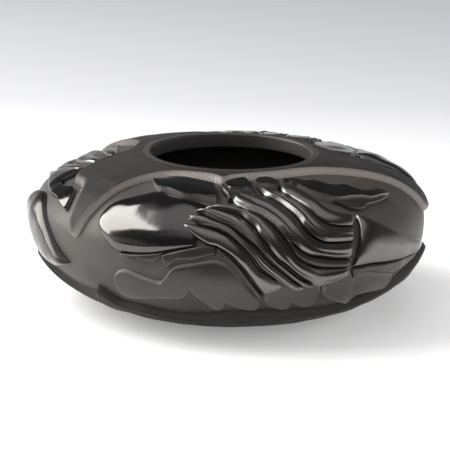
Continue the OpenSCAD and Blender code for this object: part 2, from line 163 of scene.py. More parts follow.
def spline(points: Line, per_span: int, closed: bool = False) -> np.ndarray:
    """Draws a smooth line through points.

    Args:
        points: the places the line passes.
        per_span: how many places it gets between two of them.
        closed: whether it runs once round the pot and joins up.

    Returns:
        The places along the line, one row each.
    """
    p = np.array(points, float)
    if closed:
        lap = np.array([360.0, 0.0])
        p = np.concatenate([[p[-1] - lap], p, [p[0] + lap, p[1] + lap]])
    else:
        p = np.concatenate([[p[0]], p, [p[-1]]])
    a, b, c, d = p[:-3], p[1:-2], p[2:-1], p[3:]
    t = (np.arange(per_span) / per_span)[None, :, None]
    a, b, c, d = (q[:, None, :] for q in (a, b, c, d))
    line = b + 0.5 * t * (c - a + t * (2 * a - 5 * b + 4 * c - d + t * (3 * b - a - 3 * c + d)))
    line = line.reshape(-1, 2)
    return line if closed else np.concatenate([line, [np.array(points[-1], float)]])


def evenly(line: np.ndarray, count: int, mm_per_degree: float) -> np.ndarray:
    """Spaces places evenly along a line on the belly.

    Args:
        line: the line's places, one row each.
        count: how many equal steps it is cut into.
        mm_per_degree: how far one degree goes round the pot.

    Returns:
        The count + 1 places, one row each.
    """
    gaps = np.hypot(np.diff(line[:, 0]) * mm_per_degree, np.diff(line[:, 1]))
    run = np.concatenate([[0], np.cumsum(gaps)])
    at = np.linspace(0, run[-1], count + 1)
    return np.stack([np.interp(at, run, line[:, 0]), np.interp(at, run, line[:, 1])], -1)


def add_mesh(
    name: str, points: np.ndarray, faces: Sequence[Sequence[int]], marks: dict[str, np.ndarray] | None = None
) -> bpy.types.Object:
    """Makes an object of points and faces, with doubled points merged and normals outward.

    Args:
        name: the piece's name.
        points: its points in metres.
        faces: the point numbers of each face.
        marks: named numbers, one for each point.

    Returns:
        The new object, at the origin.
    """
    mesh = bpy.data.meshes.new(name)
    mesh.from_pydata([tuple(p) for p in points], [], [tuple(f) for f in faces])
    for key, values in (marks or {}).items():
        mesh.attributes.new(key, "FLOAT", "POINT").data.foreach_set("value", np.asarray(values, np.float32))
    shape = bmesh.new()
    shape.from_mesh(mesh)
    bmesh.ops.remove_doubles(shape, verts=shape.verts, dist=1e-6)
    bmesh.ops.dissolve_degenerate(shape, edges=shape.edges, dist=1e-7)
    bmesh.ops.recalc_face_normals(shape, faces=shape.faces)
    shape.to_mesh(mesh)
    shape.free()
    for polygon in mesh.polygons:
        polygon.use_smooth = True
    piece = bpy.data.objects.new(name, mesh)
    bpy.context.scene.collection.objects.link(piece)
    return piece


# ---------------------------------------------------------------- shader maths


class Socket:
    """A shader socket that takes part in Python expressions; each operator adds its Math node."""

    def __init__(self, tree: "Tree", link: bpy.types.NodeSocket) -> None:
        """Wraps the socket link of tree."""
        self.tree = tree
        self.link = link

    def _math(self, operation: str, *values: Any) -> "Socket":
        """Adds a Math node of that operation over values."""
        return self.tree.add("ShaderNodeMath", {"operation": operation}, dict(enumerate(values)))

    def __add__(self, other: Any) -> "Socket":
        """self + other."""
        return self._math("ADD", self, other)

    __radd__ = __add__

    def __sub__(self, other: Any) -> "Socket":
        """self - other."""
        return self._math("SUBTRACT", self, other)

    def __rsub__(self, other: Any) -> "Socket":
        """other - self."""
        return self._math("SUBTRACT", other, self)

    def __mul__(self, other: Any) -> "Socket":
        """self * other."""
        return self._math("MULTIPLY", self, other)

    __rmul__ = __mul__

    def clamped(self) -> "Socket":
        """self held between 0 and 1."""
        return self._math("MINIMUM", self._math("MAXIMUM", self, 0.0), 1.0)

    def between(self, low: float, high: float) -> "Socket":
        """Steps smoothly from 0 to 1.

        Args:
            low: where the step starts; below it the result is 0.
            high: where the step ends; above it the result is 1.

        Returns:
            The step, wrapped.
        """
        settings = {"interpolation_type": "SMOOTHSTEP"}
        values = {"Value": self, "From Min": low, "From Max": high}
        return self.tree.add("ShaderNodeMapRange", settings, values)


class Tree:
    """A material's node tree, with one method that adds any node."""

    def __init__(self, name: str) -> None:
        """Makes an empty material.

        Args:
            name: the material's name.
        """
        self.material = bpy.data.materials.new(name)
        self.material.use_nodes = True
        self._take(self.material.node_tree)

    @classmethod
    def of(cls, node_tree: bpy.types.NodeTree) -> "Tree":
        """Wraps a node tree that isn't a material's.

        Args:
            node_tree: the tree, which is emptied.

        Returns:
            The wrapped tree.
        """
        tree = cls.__new__(cls)
        tree._take(node_tree)
        return tree

    def _take(self, node_tree: bpy.types.NodeTree) -> None:
        """Holds on to an emptied node tree."""
        self.nodes, self.links = node_tree.nodes, node_tree.links
        self.nodes.clear()

    def add(
        self, kind: str, settings: dict | None = None, sockets: dict | None = None, out: int | str = 0
    ) -> Socket:
        """Adds a node.

        Args:
            kind: the node's type.
            settings: its own properties; "stops" sets a ramp's stops.
            sockets: values or links, by socket name or number.
            out: which output to hand back.

        Returns:
            That output, wrapped.
        """
        node = self.nodes.new(kind)
        for key, value in (settings or {}).items():
            if key == "stops":
                ramp = node.color_ramp
                while len(ramp.elements) < len(value):
                    ramp.elements.new(0.5)
                for element, (position, colour) in zip(ramp.elements, value):
                    element.position, element.color = position, (*colour, 1.0)
            else:
                setattr(node, key, value)
        for key, value in (sockets or {}).items():
            if isinstance(value, Socket):
                self.links.new(value.link, node.inputs[key])
            else:
                node.inputs[key].default_value = value
        return Socket(self, node.outputs[out])

    def place(self, scale: tuple[float, float, float] = (1, 1, 1)) -> Socket:
        """Object coordinates, stretched by scale."""
        where = self.add("ShaderNodeTexCoord", out="Object")
        return self.add("ShaderNodeMapping", {}, {"Vector": where, "Scale": scale})

    def noise(self, at: Socket, scale: float, detail: float = 3.0, roughness: float = 0.5) -> Socket:
        """Noise of that scale at the place at."""
        values = {"Vector": at, "Scale": scale, "Detail": detail, "Roughness": roughness}
        return self.add("ShaderNodeTexNoise", {}, values)

    def mix(self, amount: Any, first: Any, second: Any) -> Socket:
        """A colour between first and second."""
        values = {"Factor": amount, 6: first, 7: second}
        return self.add("ShaderNodeMix", {"data_type": "RGBA"}, values, out=2)

    def bump(self, height: Socket, strength: float, distance: float, below: Socket | None = None) -> Socket:
        """Adds a bumped normal.

        Args:
            height: the height that bumps it.
            strength: how strongly.
            distance: how high a height of 1 stands, in metres.
            below: the normal that it lies on, where there is one.

        Returns:
            The normal, wrapped.
        """
        values: dict = {"Strength": strength, "Distance": distance, "Height": height}
        if below is not None:
            values["Normal"] = below
        return self.add("ShaderNodeBump", {}, values)

    def surface(self, values: dict) -> bpy.types.Material:
        """Ends the tree in a Principled surface.

        Args:
            values: values or links, by socket name.

        Returns:
            The finished material.
        """
        shader = self.add("ShaderNodeBsdfPrincipled", {}, values)
        self.links.new(shader.link, self.nodes.new("ShaderNodeOutputMaterial").inputs["Surface"])
        return self.material


# ---------------------------------------------------------------- finishes


PAINTED_LOW_SHADE: Colour = (0.006, 0.0055, 0.0052, 1.0)  # painted shade: clay darkened low down, where the pot turns under
PAINTED_SHADE_BAND: Point = (0.014, 0.034)  # heights in metres between which the painted shade darkens the clay downward
PAINTED_SHADE_STRAY = 0.012  # how far that band wanders up and down, in metres
SAND_GRAIN: Colour = (0.24, 0.2, 0.18, 1.0)  # a coarse grain in unrubbed clay
SANDY_CUT: Colour = (0.31, 0.28, 0.262, 1.0)  # dust left on a sloping cut
UNRUBBED_WALL: Colour = (0.11, 0.102, 0.097, 1.0)  # the steep cut round a burnished piece
WARM_GLINT: Colour = (1.0, 0.97, 0.93, 1.0)  # tint of every mirrored light
FINE_GRAIN = 0.00012  # how high strokes and grain stand, in metres
HAND_WAVE = 0.0012  # how high the slow wave stands, in metres


class Wear(Enum):
    """How far the clay was rubbed before firing."""

    MIRROR = "mirror"
    SATIN = "satin"
    GROUND = "ground"
    MATTE = "matte"
    RAW = "raw"


@dataclass(frozen=True)
class Clay:
    """Black reduction-fired clay at one degree of burnish."""

    name: str
    wear: Wear
    slot: str
    dark: Point3
    light: Point3
    roughness: float
    roughness_spread: float
    stroke: float  # strength of the burnishing strokes
    grain: float  # strength of the fine grain
    wave: float  # strength of the slow wave that hands leave
    ior: float = 1.55
    under: float = 0.0  # how strongly shade is painted onto the clay low down, where it turns under

    def material(self) -> bpy.types.Material:
        """Builds the material: mottled colour, burnishing strokes, grain, a slow hand-made wave and, where
        set, painted shade low down.

        Returns:
            The finished material.
        """
        tree = Tree(self.name)
        here = tree.place()
        cloud = tree.noise(here, scale=42.0, detail=4.0, roughness=0.55)
        fine = tree.noise(here, scale=900.0, detail=3.0, roughness=0.6)
        strokes = tree.noise(tree.place((70.0, 70.0, 900.0)), scale=1.0, detail=4.0, roughness=0.55)
        scuffs = tree.noise(tree.place((260.0, 260.0, 2600.0)), scale=1.0, detail=2.0, roughness=0.5)
        tone = (cloud * 0.7 + fine * 0.3).between(0.32, 0.68)
        colour = tree.mix(tone, (*self.dark, 1.0), (*self.light, 1.0))
        rough = self.roughness + (strokes - 0.5) * self.roughness_spread
        rough = rough + (cloud - 0.5) * self.roughness_spread
        # Painted shade: the clay is darkened low down, where the pot turns under.
        if self.under:
            height = tree.add("ShaderNodeSeparateXYZ", {}, {"Vector": here}, out="Z")
            below = (1.0 - (height + (cloud - 0.5) * PAINTED_SHADE_STRAY).between(*PAINTED_SHADE_BAND)) * self.under
            colour = tree.mix(below, colour, PAINTED_LOW_SHADE)
        metal: Any = 0.0
        grain_height = fine
        if self.wear in (Wear.MATTE, Wear.RAW):
            cut = tree.add("ShaderNodeAttribute", {"attribute_name": "cut"}, out="Fac")
            sand = tree.add("ShaderNodeTexVoronoi", {}, {"Vector": here, "Scale": 2600.0})
            speck = (1.0 - sand.between(0.02, 0.16)) * (0.22 + cut * 0.78)
            gritty = tree.noise(here, scale=2100.0, detail=2.0, roughness=0.7)
            colour = tree.mix(speck * gritty.between(0.46, 0.62) * 0.8, colour, SAND_GRAIN)
            colour = tree.mix(cut * (0.55 + gritty * 0.6), colour, SANDY_CUT)
            rough = rough + (gritty - 0.5) * 0.35
            metal = (speck * gritty.between(0.52, 0.6)).clamped() * 0.7
            grain_height = fine + gritty * (0.5 + cut * 1.6)
        if self.wear in (Wear.MIRROR, Wear.SATIN):
            wall = tree.add("ShaderNodeAttribute", {"attribute_name": "wall"}, out="Fac")
            colour = tree.mix(wall, colour, UNRUBBED_WALL)
            rough = rough + wall * 0.4
        normal = tree.bump(cloud, self.wave, HAND_WAVE)
        normal = tree.bump(strokes + scuffs * 0.5, self.stroke, FINE_GRAIN, normal)
        normal = tree.bump(grain_height, self.grain, FINE_GRAIN, normal)
        values = {
            "Base Color": colour, "Roughness": rough.clamped(), "Metallic": metal, "IOR": self.ior,
            "Specular Tint": WARM_GLINT, "Normal": normal,
        }
        return tree.surface(values)


@dataclass(frozen=True)
class Mica:
    """The small bright flakes that show where the clay was cut and left unrubbed."""

    name: str = "mica_flakes"
    slot: str = "matte_clay"

    def material(self) -> bpy.types.Material:
        """Builds the material.

        Returns:
            The finished material.
        """
        tree = Tree(self.name)
        tint = tree.noise(tree.place(), scale=700.0, detail=1.0)
        values = {
            "Base Color": tree.mix(tint, (0.5, 0.4, 0.36, 1.0), (0.75, 0.72, 0.7, 1.0)),
            "Roughness": 0.22 + tint * 0.2,
            "Metallic": 1.0,
        }
        return tree.surface(values)


MICA = Mica()
MIRROR = Clay(
    name="mirror_burnished_clay", wear=Wear.MIRROR, slot="mirror_burnish",
    dark=(0.003, 0.0027, 0.003), light=(0.006, 0.0053, 0.0052),
    roughness=0.13, roughness_spread=0.08, stroke=0.05, grain=0.02, wave=0.16, ior=1.95,
)
SOFT = Clay(
    name="soft_burnished_clay", wear=Wear.MIRROR, slot="mirror_burnish",
    dark=(0.007, 0.0062, 0.006), light=(0.015, 0.0132, 0.0125),
    roughness=0.24, roughness_spread=0.12, stroke=0.12, grain=0.03, wave=0.14, ior=2.3,
)
SATIN = Clay(
    name="satin_burnished_clay", wear=Wear.SATIN, slot="satin_burnish",
    dark=(0.012, 0.0105, 0.01), light=(0.024, 0.021, 0.0195),
    roughness=0.34, roughness_spread=0.14, stroke=0.12, grain=0.06, wave=0.14, ior=1.6,
)
SHEEN = Clay(
    name="sheen_burnished_clay", wear=Wear.SATIN, slot="satin_burnish",
    dark=(0.007, 0.0063, 0.0062), light=(0.014, 0.0125, 0.012),
    roughness=0.2, roughness_spread=0.1, stroke=0.1, grain=0.04, wave=0.14, ior=1.62,
)
GROUND = Clay(
    name="carved_ground_clay", wear=Wear.GROUND, slot="ground_burnish",
    dark=(0.036, 0.033, 0.031), light=(0.06, 0.056, 0.052),
    roughness=0.48, roughness_spread=0.14, stroke=0.16, grain=0.1, wave=0.14, ior=1.45, under=0.9,
)
MATTE = Clay(
    name="matte_clay", wear=Wear.MATTE, slot="matte_clay",
    dark=(0.017, 0.0155, 0.0155), light=(0.027, 0.025, 0.0245),
    roughness=0.6, roughness_spread=0.12, stroke=0.1, grain=0.3, wave=0.12, ior=1.3, under=0.9,
)
RIM = Clay(
    name="rubbed_rim_clay", wear=Wear.MATTE, slot="matte_clay",
    dark=(0.024, 0.0225, 0.022), light=(0.038, 0.0355, 0.0345),
    roughness=0.46, roughness_spread=0.12, stroke=0.1, grain=0.12, wave=0.12, ior=1.5,
)
RAW = Clay(
    name="raw_inner_clay", wear=Wear.RAW, slot="inner_clay",
    dark=(0.012, 0.0115, 0.011), light=(0.022, 0.02, 0.019),
    roughness=0.78, roughness_spread=0.1, stroke=0.1, grain=0.35, wave=0.1, ior=1.4,
)


# ---------------------------------------------------------------- geometry nodes


class Growth:
    """A Geometry Nodes tree with named inputs, which is run once and turned into a plain mesh."""

    def __init__(self, name: str, inputs: dict[str, tuple[str, Any]]) -> None:
        """Makes the tree.

        Args:
            name: the tree's name.
            inputs: each input's socket type and value.
        """
        self.group = bpy.data.node_groups.new(name, "GeometryNodeTree")
        face = self.group.interface
        face.new_socket("Geometry", in_out="INPUT", socket_type="NodeSocketGeometry")
        self.values = {}
        for label, (kind, value) in inputs.items():
            self.values[face.new_socket(label, in_out="INPUT", socket_type=kind).identifier] = value
        face.new_socket("Geometry", in_out="OUTPUT", socket_type="NodeSocketGeometry")
        self.entry = self.group.nodes.new("NodeGroupInput")

    def given(self, label: str) -> bpy.types.NodeSocket:
        """The group input of that name."""
        return self.entry.outputs[label]

    def add(self, kind: str, settings: dict | None = None, sockets: dict | None = None) -> bpy.types.Node:
        """Adds a node.

        Args:
            kind: the node's type.
            settings: its own properties, which are set first.
            sockets: values or links, by socket name or number.

        Returns:
            The node.
        """
        node = self.group.nodes.new(kind)
        for key, value in (settings or {}).items():
            setattr(node, key, value)
        for key, value in (sockets or {}).items():
            if isinstance(value, bpy.types.NodeSocket):
                self.group.links.new(value, node.inputs[key])
            else:
                node.inputs[key].default_value = value
        return node

    def math(self, operation: str, *values: Any) -> bpy.types.NodeSocket:
        """Adds a Math node over values."""
        return self.add("ShaderNodeMath", {"operation": operation}, dict(enumerate(values))).outputs[0]

    def grow(self, name: str, source: bpy.types.Object, geometry: bpy.types.NodeSocket) -> bpy.types.Object:
        """Ends the tree, runs it on source and hands back the result as a plain piece.

        Args:
            name: the new piece's name.
            source: the object the tree starts from; it is removed.
            geometry: the socket the tree ends in.

        Returns:
            The finished piece.
        """
        real = self.add("GeometryNodeRealizeInstances", {}, {"Geometry": geometry})
        dressed = self.add(
            "GeometryNodeSetMaterial", {}, {"Geometry": real.outputs[0], "Material": self.given("Material")}
        )
        self.add("NodeGroupOutput", {}, {"Geometry": dressed.outputs[0]})
        modifier = source.modifiers.new("grow", "NODES")
        modifier.node_group = self.group
        for identifier, value in self.values.items():
            modifier[identifier] = value
        graph = bpy.context.evaluated_depsgraph_get()
        mesh = bpy.data.meshes.new_from_object(source.evaluated_get(graph))
        source.modifiers.remove(modifier)
        bpy.data.objects.remove(source)
        mesh.name = name
        piece = bpy.data.objects.new(name, mesh)
        bpy.context.scene.collection.objects.link(piece)
        return piece


WOBBLE_SCALE = 38.0  # how closely the hand's wobbles on the turned wall follow each other
FLAKE_SIZE = 0.16  # radius of a middling mica flake, in millimetres


def lathe(
    name: str, loop: Sequence[Point], steps: int, wobble: float, material: bpy.types.Material
) -> bpy.types.Object:
    """Turns a closed outline round the pot's axis.

    Args:
        name: the piece's name.
        loop: the outline's (radius, height) places in millimetres, in order.
        steps: how many steps the turn has.
        wobble: how far the hand left the surface from true, in millimetres.
        material: what it is dressed in.

    Returns:
        The turned piece.
    """
    mesh = bpy.data.meshes.new(name + "_outline")
    edges = [(i, (i + 1) % len(loop)) for i in range(len(loop))]
    mesh.from_pydata([(r * MM, 0.0, z * MM) for r, z in loop], edges, [])
    source = bpy.data.objects.new(name + "_outline", mesh)
    bpy.context.scene.collection.objects.link(source)
    tree = Growth(
        "turn_on_wheel",
        {
            "Steps": ("NodeSocketInt", steps),
            "Places": ("NodeSocketInt", len(loop)),
            "Wobble": ("NodeSocketFloat", wobble * MM),
            "Wobble Scale": ("NodeSocketFloat", WOBBLE_SCALE),
            "Seed": ("NodeSocketFloat", float(SEED)),
            "Material": ("NodeSocketMaterial", material),
        },
    )
    columns = tree.math("ADD", tree.given("Steps"), 1.0)
    rows = tree.math("ADD", tree.given("Places"), 1.0)
    sheet = tree.add("GeometryNodeMeshGrid", {}, {"Vertices X": columns, "Vertices Y": rows})
    index = tree.add("GeometryNodeInputIndex").outputs[0]
    column = tree.math("FLOOR", tree.math("DIVIDE", index, rows))
    along = tree.math("SUBTRACT", index, tree.math("MULTIPLY", column, rows))
    row = tree.math("MODULO", along, tree.given("Places"))
    spot = tree.add("GeometryNodeInputPosition").outputs[0]
    sampled = tree.add(
        "GeometryNodeSampleIndex", {"data_type": "FLOAT_VECTOR"},
        {"Geometry": tree.given("Geometry"), "Value": spot, "Index": tree.math("ROUND", row)},
    )
    split = tree.add("ShaderNodeSeparateXYZ", {}, {0: sampled.outputs[0]})
    turn = tree.math("MULTIPLY", tree.math("DIVIDE", column, tree.given("Steps")), 2 * math.pi)
    x = tree.math("MULTIPLY", split.outputs[0], tree.math("SINE", turn))
    y = tree.math("MULTIPLY", split.outputs[0], tree.math("COSINE", turn))
    where = tree.add("ShaderNodeCombineXYZ", {}, {0: x, 1: y, 2: split.outputs[2]})
    turned = tree.add(
        "GeometryNodeSetPosition", {}, {"Geometry": sheet.outputs[0], "Position": where.outputs[0]}
    )
    closed = tree.add("GeometryNodeMergeByDistance", {}, {"Geometry": turned.outputs[0], "Distance": 1e-6})
    noise = tree.add(
        "ShaderNodeTexNoise", {"noise_dimensions": "4D"},
        {"Vector": spot, "W": tree.given("Seed"), "Scale": tree.given("Wobble Scale"), "Detail": 1.0},
    )
    lift = tree.math("MULTIPLY", tree.math("SUBTRACT", noise.outputs[0], 0.5), tree.given("Wobble"))
    normal = tree.add("GeometryNodeInputNormal").outputs[0]
    shift = tree.add("ShaderNodeVectorMath", {"operation": "SCALE"}, {0: normal, "Scale": lift})
    worked = tree.add(
        "GeometryNodeSetPosition", {}, {"Geometry": closed.outputs[0], "Offset": shift.outputs[0]}
    )
    smooth = tree.add("GeometryNodeSetShadeSmooth", {}, {"Geometry": worked.outputs[0]})
    piece = tree.grow(name, source, smooth.outputs[0])
    face_outward(piece)
    return piece


def face_outward(piece: bpy.types.Object) -> None:
    """Turns a closed piece's faces outward.

    Args:
        piece: the piece, which is changed in place.
    """
    shape = bmesh.new()
    shape.from_mesh(piece.data)
    bmesh.ops.recalc_face_normals(shape, faces=shape.faces)
    shape.to_mesh(piece.data)
    shape.free()


def scatter_mica(
    name: str, host: bpy.types.Object, density: float, material: bpy.types.Material
) -> bpy.types.Object:
    """Scatters small flat flakes over the cut edges of host.

    Args:
        name: the piece's name.
        host: the slab; its "cut" attribute says how sandy it is, from 0 to 1.
        density: flakes per square metre.
        material: what they are dressed in.

    Returns:
        One piece that holds every flake.
    """
    source = bpy.data.objects.new(name + "_host", host.data.copy())
    bpy.context.scene.collection.objects.link(source)
    tree = Growth(
        "scatter_mica",
        {
            "Density": ("NodeSocketFloat", density),
            "Flake Size": ("NodeSocketFloat", FLAKE_SIZE * MM),
            "Seed": ("NodeSocketInt", SEED),
            "Material": ("NodeSocketMaterial", material),
        },
    )
    cut = tree.add("GeometryNodeInputNamedAttribute", {"data_type": "FLOAT"}, {"Name": "cut"}).outputs[0]
    amount = tree.math("MULTIPLY", tree.math("POWER", cut, 3.0), tree.given("Density"))
    points = tree.add(
        "GeometryNodeDistributePointsOnFaces", {"distribute_method": "RANDOM"},
        {"Mesh": tree.given("Geometry"), "Density": amount, "Seed": tree.given("Seed")},
    )
    flake = tree.add("GeometryNodeMeshIcoSphere", {}, {"Radius": tree.given("Flake Size"), "Subdivisions": 1})
    size = tree.add(
        "FunctionNodeRandomValue", {"data_type": "FLOAT_VECTOR"},
        {0: (0.5, 0.5, 0.2), 1: (1.5, 1.2, 0.5), "Seed": tree.given("Seed")},
    )
    tilt = tree.add(
        "FunctionNodeRandomValue", {"data_type": "FLOAT_VECTOR"},
        {0: (-0.6, -0.6, -3.1), 1: (0.6, 0.6, 3.1), "Seed": tree.given("Seed")},
    )
    placed = tree.add(
        "GeometryNodeInstanceOnPoints", {},
        {
            "Points": points.outputs[0], "Instance": flake.outputs[0],
            "Rotation": points.outputs["Rotation"], "Scale": size.outputs[0],
        },
    )
    leaned = tree.add(
        "GeometryNodeRotateInstances", {}, {"Instances": placed.outputs[0], "Rotation": tilt.outputs[0]}
    )
    return tree.grow(name, source, leaned.outputs[0])


# ---------------------------------------------------------------- raised pieces


class Hand:
    """Small smooth unevenness that the hand leaves, the same on every run."""

    def __init__(self, seed: int, size: float, reach: float, waves: int = 18) -> None:
        """Chooses the waves.

        Args:
            seed: which set of waves.
            size: about how long a wave is, in metres.
            reach: how far they add up to.
            waves: how many there are.
        """
        draw = np.random.default_rng(seed)
        heading = draw.normal(size=(3, waves))
        heading /= np.linalg.norm(heading, axis=0)
        self.wave = heading * 2 * math.pi / (size * draw.uniform(0.7, 2.0, waves))
        self.phase = draw.uniform(0, 2 * math.pi, waves)
        self.reach = reach / math.sqrt(waves / 2)

    def at(self, points: np.ndarray) -> np.ndarray:
        """The unevenness at points, whose last axis is x, y and z in metres."""
        return np.sin(points @ self.wave + self.phase).sum(-1) * self.reach


@dataclass(frozen=True)
class Section:
    """How a raised piece stands up between its two edges."""

    rise: float  # height over the ground, in millimetres
    edge: float = 0.3  # share of the rise that stands straight up at the edge
    rounding: float = 1.2  # how wide the edge is rounded over, in millimetres
    power: float = 2.0  # 2 is a round crown, and more is a flatter one
    lean: float = 0.5  # where the crown is highest, from the low edge at 0 to the high edge at 1
    ends: float = 0.12  # share of the length over which each end runs down
    slope: float = 0.0  # share of the rise lost towards the high edge
    flutes: float = 0.0  # how many shallow channels run along the piece
    flute_depth: float = 0.0  # how deep they are, in millimetres

    def lift(self, along: np.ndarray, across: np.ndarray, width: np.ndarray, length: float) -> np.ndarray:
        """Works out the height of the surface over the ground.

        Args:
            along: 0 to 1 from one end to the other.
            across: 0 to 1 from the low edge to the high edge.
            width: width of the piece there, in millimetres.
            length: its length, in millimetres.

        Returns:
            The height at each place, in millimetres.
        """
        side = np.clip(np.minimum(across, 1 - across) * width / self.rounding, 0, 1)
        end = np.clip(np.minimum(along, 1 - along) * length / self.rounding, 0, 1)
        step = np.sqrt(1 - (1 - side) ** 2) * np.sqrt(1 - (1 - end) ** 2)
        leaned = across ** (math.log(0.5) / math.log(self.lean))
        crown = np.sqrt(np.clip(1 - np.abs(2 * leaned - 1) ** self.power, 0, 1))
        taper: Any = 1.0
        if self.ends > 0:
            near = np.clip(np.minimum(along, 1 - along) / self.ends, 0, 1)
            taper = np.sqrt(1 - (1 - near) ** 2)
        height = self.edge * step + (1 - self.edge) * crown * taper * np.sqrt(step)
        height = height * (1 - self.slope * across)
        if self.flutes:
            wave = 0.5 - 0.5 * np.cos(2 * math.pi * self.flutes * leaned)
            height = height - self.flute_depth * wave * crown * taper * np.clip(width / 6, 0, 1) / self.rise
        return self.rise * height

    def wall(self, along: np.ndarray, across: np.ndarray, width: np.ndarray, length: float) -> np.ndarray:
        """Marks the steep cut round the piece, where the burnishing stone can't reach.

        Args:
            along: 0 to 1 from one end to the other.
            across: 0 to 1 from the low edge to the high edge.
            width: width of the piece there, in millimetres.
            length: its length, in millimetres.

        Returns:
            1 on the cut and 0 on top, at each place.
        """
        side = np.minimum(across, 1 - across) * width / self.rounding
        end = np.minimum(along, 1 - along) * length / self.rounding
        return np.clip(1.25 - 1.5 * np.minimum(side, end), 0, 1)


